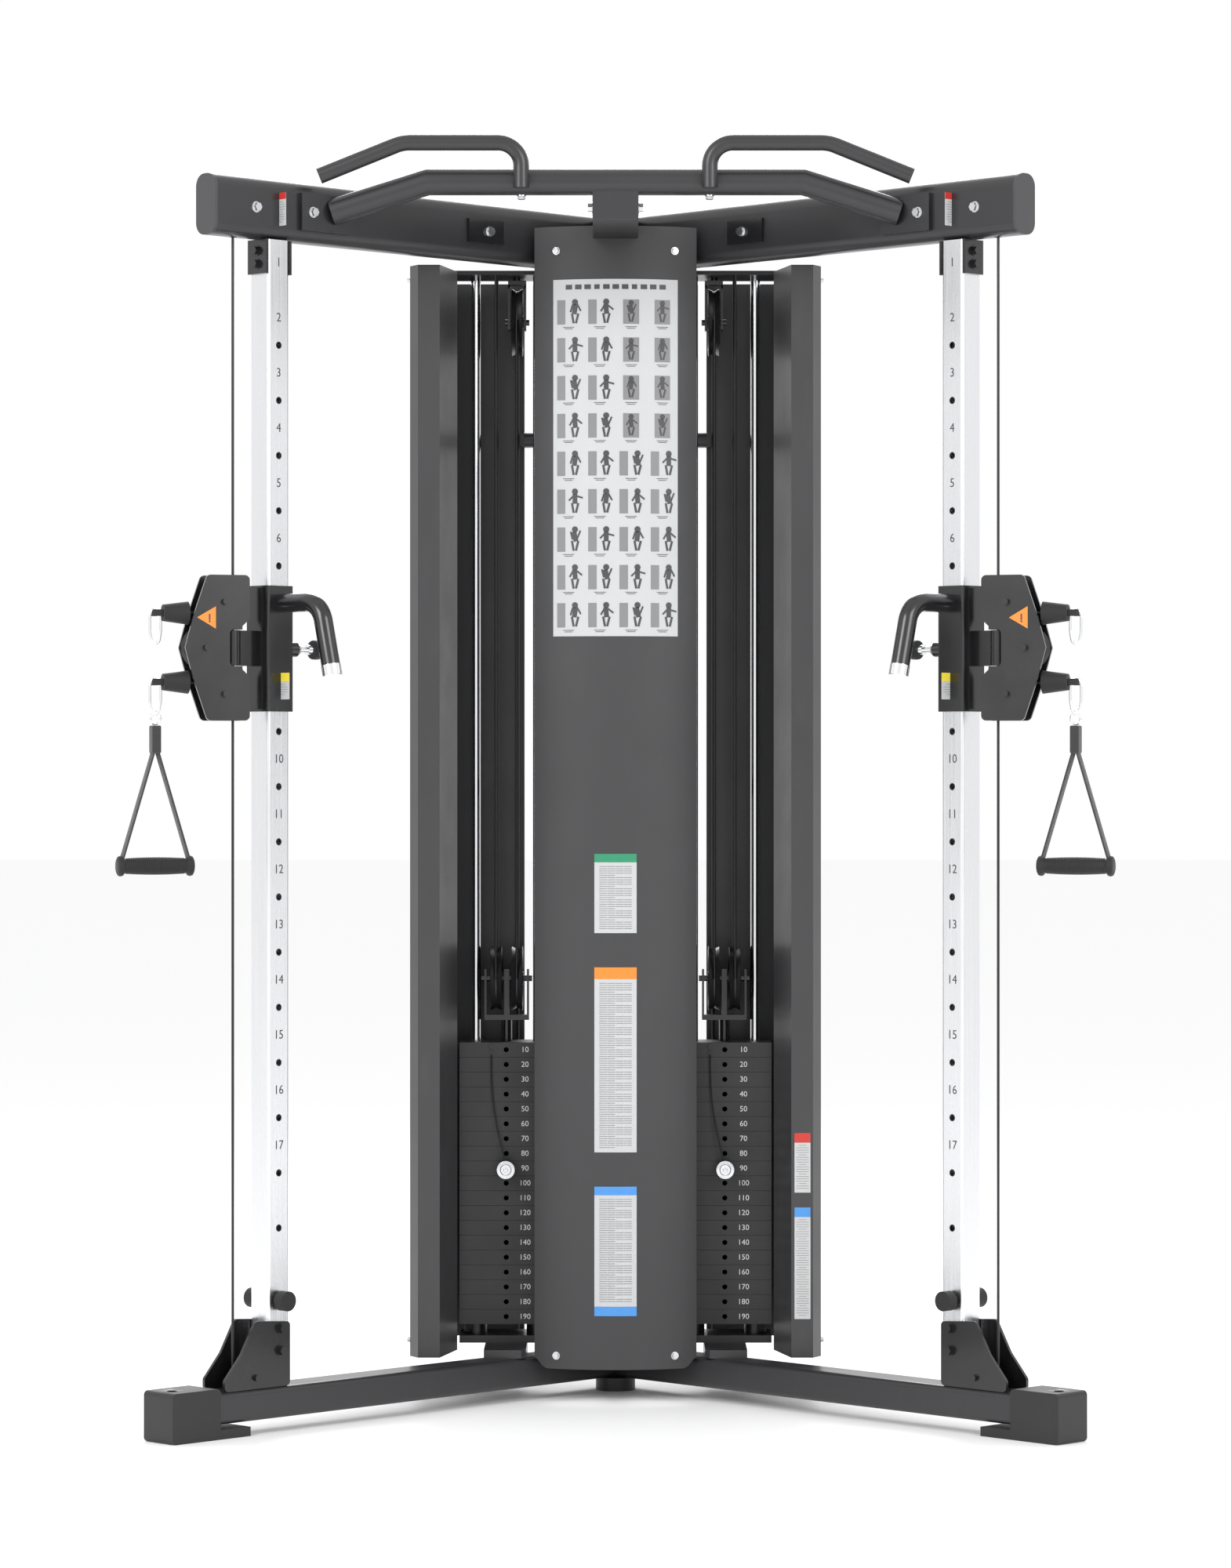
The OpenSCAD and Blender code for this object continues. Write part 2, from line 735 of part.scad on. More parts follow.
module sleeve() {
    color("#1f1f21") arm() translate([post_reach, 0, carriage_z]) difference() {
        union() {
            translate([0, 0, -sleeve_h / 2]) linear_extrude(sleeve_h)
                round_rect(2 * sleeve_out, 2 * sleeve_out, 5);
            // The web and the knuckle that the head turns on.
            box([sleeve_out - 1, -6, -knuckle_h / 2], [swivel_out, 6, knuckle_h / 2]);
            box([sleeve_out - 1, -20, -sleeve_h / 2 + 4], [sleeve_out + 6, 20, sleeve_h / 2 - 4]);
            rod_z(-knuckle_h / 2, knuckle_h / 2, knuckle_r, swivel_out);
            // The pop pin's collar.
            rod_x(-sleeve_out - 30, -sleeve_out + 1, 14);
        }
        translate([0, 0, -sleeve_h / 2 - 1]) linear_extrude(sleeve_h + 2)
            square(2 * sleeve_in, center = true);
        rod_z(-knuckle_h, knuckle_h, cable_r + 2, swivel_out);
        rod_x(-sleeve_out - 40, -sleeve_in + 2, pin_body_r + run_gap);
    }
}

pin_body_r = 5;

module pop_pin() {
    color("#d5d6d8") arm() translate([post_reach, 0, carriage_z]) {
        rod_x(-sleeve_out - 58, -sleeve_in, pin_body_r);
        rod_x(-sleeve_out - 74, -sleeve_out - 58, 9);
        rod_x(-sleeve_out - 92, -sleeve_out - 74, 17);
    }
}

// The bent tube that the user moves the carriage by.
module grip_tube() {
    bend = 45;
    turn = 76;
    reach = 72;
    drop = 82;
    band = 20;
    z = sleeve_h / 2 - 32;
    color("#1f1f21") arm() translate([post_reach, -sleeve_out, carriage_z + z]) {
        rod_y(-reach, 0, grip_r);
        translate([0, -reach, -bend]) rotate([0, 90, 0]) rotate([0, 0, 180])
            rotate_extrude(angle = turn) translate([bend, 0]) circle(grip_r - weld);
        translate([0, -reach - bend * sin(turn), -bend * (1 - cos(turn))])
            rotate([180 - (90 - turn), 0, 0]) {
                cylinder(h = drop, r = grip_r);
                translate([0, 0, drop]) cylinder(h = band, r = grip_r + 0.4);
            }
    }
}

cheek_outline = rounded([
    [-25, cheek_h / 2], [54, cheek_h / 2], [80, 55], [95, 0], [80, -55], [54, -cheek_h / 2],
    [-25, -cheek_h / 2], [-25, -52], [-8, -knuckle_h / 2 - 4], [12, -knuckle_h / 2 - 1],
    [12, knuckle_h / 2 + 1], [-8, knuckle_h / 2 + 4], [-25, 52]
], 9);

// Two cheek plates, the pivot blocks above and below the knuckle, and three axles.
module head() {
    axles = [[roller_x, roller_z], [head_sheave_x, 0], [roller_x, -roller_z]];
    color("#1b1b1d") head_frame() {
        for (y = [-cheek_y - cheek_t, cheek_y])
            difference() {
                wall_y(y, y + cheek_t) polygon(cheek_outline);
                for (a = axles)
                    rod_y(y - 1, y + cheek_t + 1, axle_r, a[0], a[1]);
            }
        for (k = [-1, 1])
            difference() {
                box([-13, -cheek_y, k > 0 ? knuckle_h / 2 + 1 : -knuckle_h / 2 - 23],
                    [12, cheek_y, k > 0 ? knuckle_h / 2 + 23 : -knuckle_h / 2 - 1]);
                rod_z(-cheek_h, cheek_h, cable_r + 2);
            }
    }
    color("#c9cacc") head_frame() for (a = axles)
        rod_y(-cheek_y - cheek_t - 9, cheek_y + cheek_t + 9, axle_r, a[0], a[1]);
}

module roller(k) {
    color("#1a1a1c") head_frame() translate([roller_x, 0, k * roller_z]) rotate([90, 0, 0])
        sheave(roller_r, roller_groove, 20, axle_r + run_gap);
}

module head_sheave() {
    color("#1a1a1c") head_frame() translate([head_sheave_x, 0, 0]) rotate([90, 0, 0])
        sheave(head_sheave_r, head_sheave_r - 6, 26, axle_r + run_gap);
}

// The two cable ends: a wrap round the roller, the cable, its rubber stop and a fork.
module cable_ends() {
    wrap = 45;
    r = roller_groove + cable_r + 0.4;
    color("#1a1a1c") head_frame() for (k = [-1, 1]) mirror([0, 0, k < 0 ? 1 : 0]) {
        translate([roller_x, 0, roller_z]) rotate([90, 0, 0])
            rotate_extrude(angle = wrap, start = 270 - wrap) translate([r, 0]) circle(cable_r);
        rod_x(roller_x, stop_x, cable_r, 0, roller_z - r);
        translate([stop_x, 0, roller_z - r]) rotate([0, 90, 0])
            cylinder(h = stop_len, r1 = 21, r2 = 15, $fn = 48);
        // A fork, whose pin the hook hangs on.
        for (y = [-7.5, 4.5])
            box([stop_x + stop_len - 1, y, roller_z - r - 6], [eye_x + 6, y + 3, roller_z - r + 6]);
        rod_y(-7.5, 7.5, 3, eye_x, roller_z - r);
    }
}

// The strap handle hangs from the lower cable end.
hang_z = roller_z - roller_groove - cable_r - 0.4;
hook_len = 66;
strap_top = hook_len + 14;
grip_drop = 330;
grip_half = 70;

module handle() {
    color("#1a1a1c") head_frame() translate([eye_x, 0, -hang_z]) {
        // The carabiner, a flat ring.
        color("#d5d6d8") wall_y(-3, 3) difference() {
            translate([0, -hook_len / 2 + 9]) round_rect(20, hook_len, 9.5);
            translate([0, -hook_len / 2 + 9]) round_rect(11, hook_len - 9, 5.2);
        }
        // The sewn sleeve and the two strap legs.
        wall_y(-13, 13) polygon([[-9, -strap_top], [9, -strap_top], [12, -strap_top - 46],
                                 [-12, -strap_top - 46]]);
        wall_y(-3, 3) polygon([[-5, -hook_len + 6], [5, -hook_len + 6], [8, -strap_top],
                               [-8, -strap_top]]);
        for (k = [-1, 1])
            wall_y(-12, 12) polygon([[k * 12, -strap_top - 46], [k * 5, -strap_top - 46],
                                     [k * (grip_half - 9), -grip_drop + 12],
                                     [k * (grip_half - 2), -grip_drop + 12]]);
        // The grip barrel, with its end discs.
        for (k = [-1, 1])
            rod_x(k > 0 ? grip_half - 12 : -grip_half, k > 0 ? grip_half : -grip_half + 12, 18,
                  0, -grip_drop);
        rod_x(-grip_half + 12, grip_half - 12, 15, 0, -grip_drop);
    }
}

// ---------- fasteners ----------

module frame_bolts() {
    face = -beam_w / 2;
    color("#c9cacc") {
        both() {
            // Through the top beams: at the posts, at the bar's ends and at the gussets.
            arm() translate([post_reach + 56, face, beam_mid]) bolt_head(8);
            arm() translate([bar_out * sqrt(2) + 22, face - 8, beam_mid]) bolt_head(8);
            arm() translate([368, face - 5, beam_mid]) bolt_head(8);
            // Panel screws.
            for (z = [panel_z0 + 25, panel_z1 - 46])
                let (x = panel_w / 2 - 42)
                    translate([x, panel_cy - sqrt(pow(panel_r, 2) - x * x), z])
                        rotate([0, 0, asin(x / panel_r)]) bolt_head(6);
            // Cover screws.
            for (z = [cover_z0 + 29, cover_z1 - 25])
                translate([cover_x, cover_front + 50, z]) rotate([0, 0, 90]) bolt_head(5);
            // Under the bar, below the raised grips.
            translate([raised_x, -bar_out, bar_z - bar_r]) rotate([90, 0, 0]) bolt_head(7);
            // Each side of the strut.
            translate([42, -bar_out + 40, bar_z - bar_r - 18]) rotate([0, 0, 90]) bolt_head(8);
        }
    }
}

// ---------- the parts ----------

side(-1) base_beam();  // left_base_beam
side(1) base_beam();  // right_base_beam
foot_caps();
centre_foot();
centre_column();
side(-1) top_beam();  // left_top_beam
side(1) top_beam();  // right_top_beam
beam_caps();
side(-1) post();  // left_post
side(1) post();  // right_post
side(-1) base_bracket();  // left_base_bracket
side(1) base_bracket();  // right_base_bracket
post_bumpers();
bracket_plates();
pull_up_bar();
bar_strut();
front_panel();
panel_labels();
side(-1) cover();  // left_cover
side(1) cover();  // right_cover
cover_links();
stack_supports();
guide_rods();
side(-1) lower_plates();  // left_lower_plates
side(1) lower_plates();  // right_lower_plates
frame_bolts();
sheave_hangers();
fixed_cables();
side(-1) base_sheave();  // left_base_sheave
side(1) base_sheave();  // right_base_sheave
side(-1) upper_sheave();  // left_upper_sheave
side(1) upper_sheave();  // right_upper_sheave
side(-1) lifted_plates(-1);  // left_lifted_plates
side(1) lifted_plates(1);  // right_lifted_plates
side(-1) lift_block();  // left_lift_block
side(1) lift_block();  // right_lift_block
side(-1) lift_sheaves();  // left_lift_sheaves
side(1) lift_sheaves();  // right_lift_sheaves
side(-1) stack_cable();  // left_stack_cable
side(1) stack_cable();  // right_stack_cable
side(-1) selector_pin();  // left_selector_pin
side(1) selector_pin();  // right_selector_pin
side(-1) sleeve();  // left_sleeve
side(1) sleeve();  // right_sleeve
side(-1) grip_tube();  // left_grip_tube
side(1) grip_tube();  // right_grip_tube
side(-1) pop_pin();  // left_pop_pin
side(1) pop_pin();  // right_pop_pin
side(-1) head();  // left_head
side(1) head();  // right_head
side(-1) roller(1);  // left_top_roller
side(1) roller(1);  // right_top_roller
side(-1) head_sheave();  // left_head_sheave
side(1) head_sheave();  // right_head_sheave
side(-1) roller(-1);  // left_low_roller
side(1) roller(-1);  // right_low_roller
side(-1) cable_ends();  // left_cable_ends
side(1) cable_ends();  // right_cable_ends
side(-1) handle();  // left_handle
side(1) handle();  // right_handle
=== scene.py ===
"""Functional trainer: finishes, prints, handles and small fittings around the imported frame."""

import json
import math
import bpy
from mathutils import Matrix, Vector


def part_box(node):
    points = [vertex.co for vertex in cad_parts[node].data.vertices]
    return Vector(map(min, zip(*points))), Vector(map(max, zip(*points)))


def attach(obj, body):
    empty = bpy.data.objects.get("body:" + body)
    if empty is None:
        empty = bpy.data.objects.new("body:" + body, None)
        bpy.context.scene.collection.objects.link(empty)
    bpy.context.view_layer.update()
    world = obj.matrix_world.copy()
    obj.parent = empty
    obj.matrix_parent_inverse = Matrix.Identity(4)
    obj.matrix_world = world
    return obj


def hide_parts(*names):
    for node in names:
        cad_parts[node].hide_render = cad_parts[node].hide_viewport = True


bl_info = {
    "name": "Functional Trainer Finish",
    "version": (1, 0, 0),
    "blender": (4, 5, 0),
    "location": "View3D > Sidebar > Trainer",
    "description": "Paints the cable trainer and adds its handles, prints and fittings",
    "category": "Object",
}

import bmesh
import bpy
from bpy.props import FloatProperty, FloatVectorProperty, PointerProperty
from mathutils import Matrix, Vector

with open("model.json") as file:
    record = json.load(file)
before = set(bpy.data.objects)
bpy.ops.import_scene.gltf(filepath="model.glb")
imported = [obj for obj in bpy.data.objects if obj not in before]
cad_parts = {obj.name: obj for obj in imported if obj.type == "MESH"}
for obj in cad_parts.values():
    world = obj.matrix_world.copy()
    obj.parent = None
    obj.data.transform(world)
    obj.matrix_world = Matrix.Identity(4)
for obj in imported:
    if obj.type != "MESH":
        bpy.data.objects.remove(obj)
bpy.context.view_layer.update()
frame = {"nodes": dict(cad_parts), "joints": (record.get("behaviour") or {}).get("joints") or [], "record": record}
NODES = frame["nodes"]
SIDES = (("left", -1), ("right", 1))
MM = 0.001
MERGE = 1e-6      # vertices closer than this are one
POLE = 1e-7       # a profile's smallest radius, merged into its pole
SKIN = 0.8 * MM   # thickness of the panel's labels
UP = Vector((0, 0, 1))


# ---------- sizes and colours that a user may change ----------


def colour_prop(name, description, default):
    """A linear RGB colour with the socket's subtype."""
    return FloatVectorProperty(
        name=name, description=description, default=default, subtype="COLOR", min=0, max=1
    )


class TrainerFinish(bpy.types.PropertyGroup):
    """Colours of the main finishes"""

    frame_colour: colour_prop("Frame", "Powder coat on the beams", (0.017, 0.017, 0.019))
    panel_colour: colour_prop("Panel", "Powder coat on the front panel", (0.034, 0.034, 0.036))
    cover_colour: colour_prop("Covers", "Powder coat on the stack covers", (0.03, 0.03, 0.032))
    post_colour: colour_prop("Posts", "Satin chrome on the posts", (0.80, 0.81, 0.83))
    film_colour: colour_prop("Print film", "Ground of the placard", (0.48, 0.485, 0.49))
    ink_colour: colour_prop("Ink", "Figures on the placard", (0.05, 0.05, 0.055))


class TrainerSizes(bpy.types.PropertyGroup):
    """Sizes of the added pieces"""

    numeral: FloatProperty(
        name="Numeral height", description="Height of a numeral on a post",
        default=17 * MM, unit="LENGTH",
    )
    wire: FloatProperty(
        name="Wire", description="Radius of a carabiner's wire", default=2.6 * MM, unit="LENGTH"
    )
    strap: FloatProperty(
        name="Strap", description="Thickness of the handle's webbing",
        default=3.2 * MM, unit="LENGTH",
    )


# ---------- shader node groups ----------


def new_group(name, inputs, outputs):
    """An empty node group with named sockets, and its two ends."""
    tree = bpy.data.node_groups.new(name, "ShaderNodeTree")
    for label, kind, value in inputs:
        socket = tree.interface.new_socket(label, in_out="INPUT", socket_type=kind)
        if value is not None:
            socket.default_value = value
    for label, kind in outputs:
        tree.interface.new_socket(label, in_out="OUTPUT", socket_type=kind)
    return tree, tree.nodes.new("NodeGroupInput"), tree.nodes.new("NodeGroupOutput")


def add(tree, kind, **settings):
    """A node with its properties set."""
    node = tree.nodes.new(kind)
    for key, value in settings.items():
        setattr(node, key, value)
    return node


def noise(tree, source, scale, detail):
    """A noise texture on a vector, with its scale linked or set."""
    node = add(tree, "ShaderNodeTexNoise")
    node.inputs["Detail"].default_value = detail
    tree.links.new(source, node.inputs["Vector"])
    if isinstance(scale, (int, float)):
        node.inputs["Scale"].default_value = scale
    else:
        tree.links.new(scale, node.inputs["Scale"])
    return node


def ramp(tree, source, low, high, out_low, out_high):
    """Maps a value from one range to another."""
    node = add(tree, "ShaderNodeMapRange")
    tree.links.new(source, node.inputs["Value"])
    for label, value in (("From Min", low), ("From Max", high),
                         ("To Min", out_low), ("To Max", out_high)):
        if isinstance(value, (int, float)):
            node.inputs[label].default_value = value
        else:
            tree.links.new(value, node.inputs[label])
    return node.outputs["Result"]


def grain_group():
    """Fine surface grain: a roughness that varies and a bumped normal."""
    tree, start, end = new_group(
        "Surface Grain",
        [("Scale", "NodeSocketFloat", 900.0), ("Depth", "NodeSocketFloat", 0.1),
         ("Rough Low", "NodeSocketFloat", 0.3), ("Rough High", "NodeSocketFloat", 0.5)],
        [("Roughness", "NodeSocketFloat"), ("Normal", "NodeSocketVector")],
    )
    where = add(tree, "ShaderNodeTexCoord").outputs["Object"]
    fine = noise(tree, where, start.outputs["Scale"], 3)
    broad = noise(tree, where, 9, 4)
    rough = ramp(tree, broad.outputs["Fac"], 0.3, 0.7,
                 start.outputs["Rough Low"], start.outputs["Rough High"])
    bump = add(tree, "ShaderNodeBump")
    bump.inputs["Distance"].default_value = 0.0003
    tree.links.new(start.outputs["Depth"], bump.inputs["Strength"])
    tree.links.new(fine.outputs["Fac"], bump.inputs["Height"])
    tree.links.new(rough, end.inputs["Roughness"])
    tree.links.new(bump.outputs["Normal"], end.inputs["Normal"])
    return tree


def wear_group():
    """Faint scuffs and dust that shift a base colour."""
    tree, start, end = new_group(
        "Scuff Wear",
        [("Base", "NodeSocketColor", None), ("Worn", "NodeSocketColor", None),
         ("Amount", "NodeSocketFloat", 0.3)],
        [("Color", "NodeSocketColor")],
    )
    where = add(tree, "ShaderNodeTexCoord").outputs["Object"]
    stretch = add(tree, "ShaderNodeMapping")
    stretch.inputs["Scale"].default_value = (1, 1, 0.25)
    tree.links.new(where, stretch.inputs["Vector"])
    scuffs = noise(tree, stretch.outputs["Vector"], 38, 8)
    clouds = noise(tree, where, 4, 3)
    mask = ramp(tree, scuffs.outputs["Fac"], 0.56, 0.74, 0.0, 1.0)
    cloud = ramp(tree, clouds.outputs["Fac"], 0.4, 0.75, 0.25, 1.0)
    both = add(tree, "ShaderNodeMath", operation="MULTIPLY")
    tree.links.new(mask, both.inputs[0])
    tree.links.new(cloud, both.inputs[1])
    scaled = add(tree, "ShaderNodeMath", operation="MULTIPLY")
    tree.links.new(both.outputs[0], scaled.inputs[0])
    tree.links.new(start.outputs["Amount"], scaled.inputs[1])
    mix = add(tree, "ShaderNodeMix", data_type="RGBA")
    tree.links.new(scaled.outputs[0], mix.inputs[0])
    tree.links.new(start.outputs["Base"], mix.inputs[6])
    tree.links.new(start.outputs["Worn"], mix.inputs[7])
    tree.links.new(mix.outputs[2], end.inputs["Color"])
    return tree


def brush_group():
    """Long brush lines along Z for drawn metal."""
    tree, start, end = new_group(
        "Brush Lines",
        [("Scale", "NodeSocketFloat", 260.0), ("Depth", "NodeSocketFloat", 0.08),
         ("Rough Low", "NodeSocketFloat", 0.2), ("Rough High", "NodeSocketFloat", 0.34)],
        [("Roughness", "NodeSocketFloat"), ("Normal", "NodeSocketVector")],
    )
    where = add(tree, "ShaderNodeTexCoord").outputs["Object"]
    stretch = add(tree, "ShaderNodeMapping")
    stretch.inputs["Scale"].default_value = (1, 1, 0.015)
    tree.links.new(where, stretch.inputs["Vector"])
    lines = noise(tree, stretch.outputs["Vector"], start.outputs["Scale"], 5)
    rough = ramp(tree, lines.outputs["Fac"], 0.3, 0.7,
                 start.outputs["Rough Low"], start.outputs["Rough High"])
    bump = add(tree, "ShaderNodeBump")
    bump.inputs["Distance"].default_value = 0.0002
    tree.links.new(start.outputs["Depth"], bump.inputs["Strength"])
    tree.links.new(lines.outputs["Fac"], bump.inputs["Height"])
    tree.links.new(rough, end.inputs["Roughness"])
    tree.links.new(bump.outputs["Normal"], end.inputs["Normal"])
    return tree


def weave_group():
    """Woven webbing: crossed threads as height and shade."""
    tree, start, end = new_group(
        "Webbing Weave",
        [("Pitch", "NodeSocketFloat", 520.0), ("Dark", "NodeSocketColor", None),
         ("Light", "NodeSocketColor", None)],
        [("Color", "NodeSocketColor"), ("Normal", "NodeSocketVector")],
    )
    where = add(tree, "ShaderNodeTexCoord").outputs["Object"]
    waves = []
    for direction in ("X", "Z"):
        wave = add(tree, "ShaderNodeTexWave", bands_direction=direction)
        wave.inputs["Distortion"].default_value = 0.6
        tree.links.new(where, wave.inputs["Vector"])
        tree.links.new(start.outputs["Pitch"], wave.inputs["Scale"])
        waves.append(wave.outputs["Fac"])
    cross = add(tree, "ShaderNodeMath", operation="MAXIMUM")
    tree.links.new(waves[0], cross.inputs[0])
    tree.links.new(waves[1], cross.inputs[1])
    mix = add(tree, "ShaderNodeMix", data_type="RGBA")
    tree.links.new(cross.outputs[0], mix.inputs[0])
    tree.links.new(start.outputs["Dark"], mix.inputs[6])
    tree.links.new(start.outputs["Light"], mix.inputs[7])
    bump = add(tree, "ShaderNodeBump")
    bump.inputs["Distance"].default_value = 0.0005
    bump.inputs["Strength"].default_value = 0.6
    tree.links.new(cross.outputs[0], bump.inputs["Height"])
    tree.links.new(mix.outputs[2], end.inputs["Color"])
    tree.links.new(bump.outputs["Normal"], end.inputs["Normal"])
    return tree


GROUPS = {}


def make_groups():
    """Builds the shared node groups once."""
    GROUPS.update(grain=grain_group(), wear=wear_group(), brush=brush_group(),
                  weave=weave_group())


# ---------- materials ----------


def place_group(tree, name, values):
    """A group node in a material, with its own values."""
    node = add(tree, "ShaderNodeGroup", node_tree=GROUPS[name])
    for label, value in values.items():
        node.inputs[label].default_value = value
    return node


def finish_material(name, colour, surface="grain", worn=None, amount=0.3, metallic=0.0,
                    coat=0.0, coat_rough=0.1, specular=0.5, sheen=0.0, **values):
    """A material of one finish: scuffed colour, grained or brushed surface."""
    material = bpy.data.materials.new(name)
    material.use_nodes = True
    tree = material.node_tree
    shader = tree.nodes["Principled BSDF"]
    base = (*colour, 1)
    worn = (*(worn or [min(1, c * 1.5 + 0.01) for c in colour]), 1)
    wear = place_group(tree, "wear", {"Base": base, "Worn": worn, "Amount": amount})
    skin = place_group(tree, surface, values)
    tree.links.new(wear.outputs["Color"], shader.inputs["Base Color"])
    tree.links.new(skin.outputs["Roughness"], shader.inputs["Roughness"])
    tree.links.new(skin.outputs["Normal"], shader.inputs["Normal"])
    shader.inputs["Metallic"].default_value = metallic
    shader.inputs["Coat Weight"].default_value = coat
    shader.inputs["Coat Roughness"].default_value = coat_rough
    shader.inputs["Specular IOR Level"].default_value = specular
    shader.inputs["Sheen Weight"].default_value = sheen
    return material


def webbing_material():
    """Black nylon webbing."""
    material = bpy.data.materials.new("black webbing")
    material.use_nodes = True
    tree = material.node_tree
    shader = tree.nodes["Principled BSDF"]
    weave = place_group(tree, "weave", {"Dark": (0.008, 0.008, 0.009, 1),
                                        "Light": (0.035, 0.035, 0.037, 1)})
    tree.links.new(weave.outputs["Color"], shader.inputs["Base Color"])
    tree.links.new(weave.outputs["Normal"], shader.inputs["Normal"])
    shader.inputs["Roughness"].default_value = 0.85
    shader.inputs["Sheen Weight"].default_value = 0.3
    return material


def ink(name, colour, rough=0.45):
    """Printing ink or film in one colour."""
    return finish_material(name, colour, amount=0.1, Depth=0.03,
                           **{"Rough Low": rough - 0.05, "Rough High": rough + 0.05})


def make_finishes(look):
    """Every material, by the name of its finish."""
    coat = {"Rough Low": 0.32, "Rough High": 0.42, "Depth": 0.16}
    gloss = {"Rough Low": 0.18, "Rough High": 0.3, "Depth": 0.1}
    metal = {"Rough Low": 0.06, "Rough High": 0.12, "Depth": 0.02}
    return {
        "frame": finish_material("frame powder coat", look.frame_colour, coat=0.25,
                                 coat_rough=0.2, **coat),
        "panel": finish_material("panel powder coat", look.panel_colour, amount=0.15,
                                 **{"Rough Low": 0.45, "Rough High": 0.55, "Depth": 0.2}),
        "cover": finish_material("cover powder coat", look.cover_colour, coat=0.2,
                                 coat_rough=0.25, **coat),
        "bracket": finish_material("gloss black paint", (0.008, 0.008, 0.009), coat=0.4,
                                   **gloss),
        "post": finish_material("satin chrome", look.post_colour, "brush", amount=0.1,
                                metallic=1.0, worn=(0.6, 0.6, 0.62)),
        "chrome": finish_material("polished chrome", (0.86, 0.87, 0.89), metallic=1.0,
                                  amount=0.05, **metal),
        "zinc": finish_material("zinc plate", (0.68, 0.69, 0.71), metallic=1.0, amount=0.3,
                                **{"Rough Low": 0.16, "Rough High": 0.3, "Depth": 0.06}),
        "iron": finish_material("painted weight plate", (0.03, 0.03, 0.032), amount=0.2,
                                **{"Rough Low": 0.42, "Rough High": 0.55, "Depth": 0.25,
                                   "Scale": 600.0}),
        "rubber": finish_material("black rubber", (0.012, 0.012, 0.012), amount=0.3,
                                  specular=0.35, sheen=0.1,
                                  **{"Rough Low": 0.55, "Rough High": 0.75, "Depth": 0.3,
                                     "Scale": 700.0}),
        "plastic": finish_material("foot plastic", (0.014, 0.014, 0.015), amount=0.3,
                                   **{"Rough Low": 0.35, "Rough High": 0.5, "Depth": 0.3,
                                      "Scale": 500.0}),
        "cap": finish_material("end cap plastic", (0.05, 0.05, 0.053), amount=0.2,
                               **{"Rough Low": 0.38, "Rough High": 0.5, "Depth": 0.3,
                                  "Scale": 500.0}),
        "nylon": finish_material("turned nylon", (0.016, 0.016, 0.018), amount=0.3,
                                 **{"Rough Low": 0.25, "Rough High": 0.4, "Depth": 0.15}),
        "cable": finish_material("cable jacket", (0.008, 0.008, 0.008), amount=0.1,
                                 **{"Rough Low": 0.3, "Rough High": 0.4, "Depth": 0.1}),
        "film": ink("silver film", look.film_colour),
        "ink": ink("dark ink", look.ink_colour),
        "grey": ink("grey ink", (0.2, 0.2, 0.205)),
        "white": ink("white ink", (0.8, 0.8, 0.8)),
        "red": ink("red ink", (0.5, 0.03, 0.02)),
        "green": ink("green ink", (0.02, 0.24, 0.12)),
        "orange": ink("orange ink", (0.85, 0.22, 0.02)),
        "yellow": ink("yellow ink", (0.75, 0.6, 0.05)),
        "blue": ink("blue ink", (0.06, 0.25, 0.62)),
        "webbing": webbing_material(),
    }


FINISH = {}

# Which finish each CAD node has, by the end of its name.
NODE_FINISH = {
    "base_beam": "frame", "foot_caps": "plastic", "centre_foot": "plastic",
    "centre_column": "frame", "top_beam": "frame", "beam_caps": "cap", "post": "post",
    "base_bracket": "bracket", "post_bumpers": "rubber", "bracket_plates": "bracket",
    "pull_up_bar": "frame", "bar_strut": "frame", "front_panel": "panel",
    "panel_labels": "film", "cover": "cover", "cover_links": "frame",
    "stack_supports": "frame", "guide_rods": "chrome", "lower_plates": "iron",
    "frame_bolts": "zinc", "sheave_hangers": "bracket", "fixed_cables": "cable",
    "base_sheave": "nylon", "upper_sheave": "nylon", "lifted_plates": "iron",
    "lift_block": "bracket", "lift_sheaves": "nylon", "stack_cable": "cable",
    "selector_pin": "chrome", "sleeve": "bracket", "grip_tube": "bracket",
    "pop_pin": "chrome", "head": "bracket", "top_roller": "nylon",
    "head_sheave": "nylon", "low_roller": "nylon", "cable_ends": "rubber",
    "handle": "rubber",
}


def paint_nodes():
    """Gives every CAD node its finish."""
    for name, node in NODES.items():
        plain = name.split("_", 1)[1] if name.startswith(("left_", "right_")) else name
        node.data.materials.clear()
        node.data.materials.append(FINISH[NODE_FINISH[plain]])


# ---------- making pieces ----------


def keep_piece(name, bm, finish, body):
    """Turns a bmesh in the row frame into a piece that rides on a body."""
    bmesh.ops.remove_doubles(bm, verts=bm.verts, dist=MERGE)
    mesh = bpy.data.meshes.new(name)
    bm.to_mesh(mesh)
    bm.free()
    mesh.materials.append(FINISH[finish])
    piece = bpy.data.objects.new(name, mesh)
    bpy.context.scene.collection.objects.link(piece)
    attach(piece, body)
    return piece


def smooth(bm, angle=0.6):
    """Smooth faces, with sharp edges where they turn by more than the angle."""
    for face in bm.faces:
        face.smooth = True
    for edge in bm.edges:
        if len(edge.link_faces) == 2 and edge.calc_face_angle(0) > angle:
            edge.smooth = False


def block(bm, size, place):
    """A box of a size, put in place by a matrix."""
    made = bmesh.ops.create_cube(bm, size=1, matrix=place @ Matrix.Diagonal((*size, 1)))
    return made["verts"]


def disc(bm, radius, depth, place, sides=24, top=None):
    """A cylinder or cone about the matrix's Z."""
    made = bmesh.ops.create_cone(
        bm, cap_ends=True, segments=sides, radius1=radius,
        radius2=radius if top is None else top, depth=depth, matrix=place,
    )
    return made["verts"]


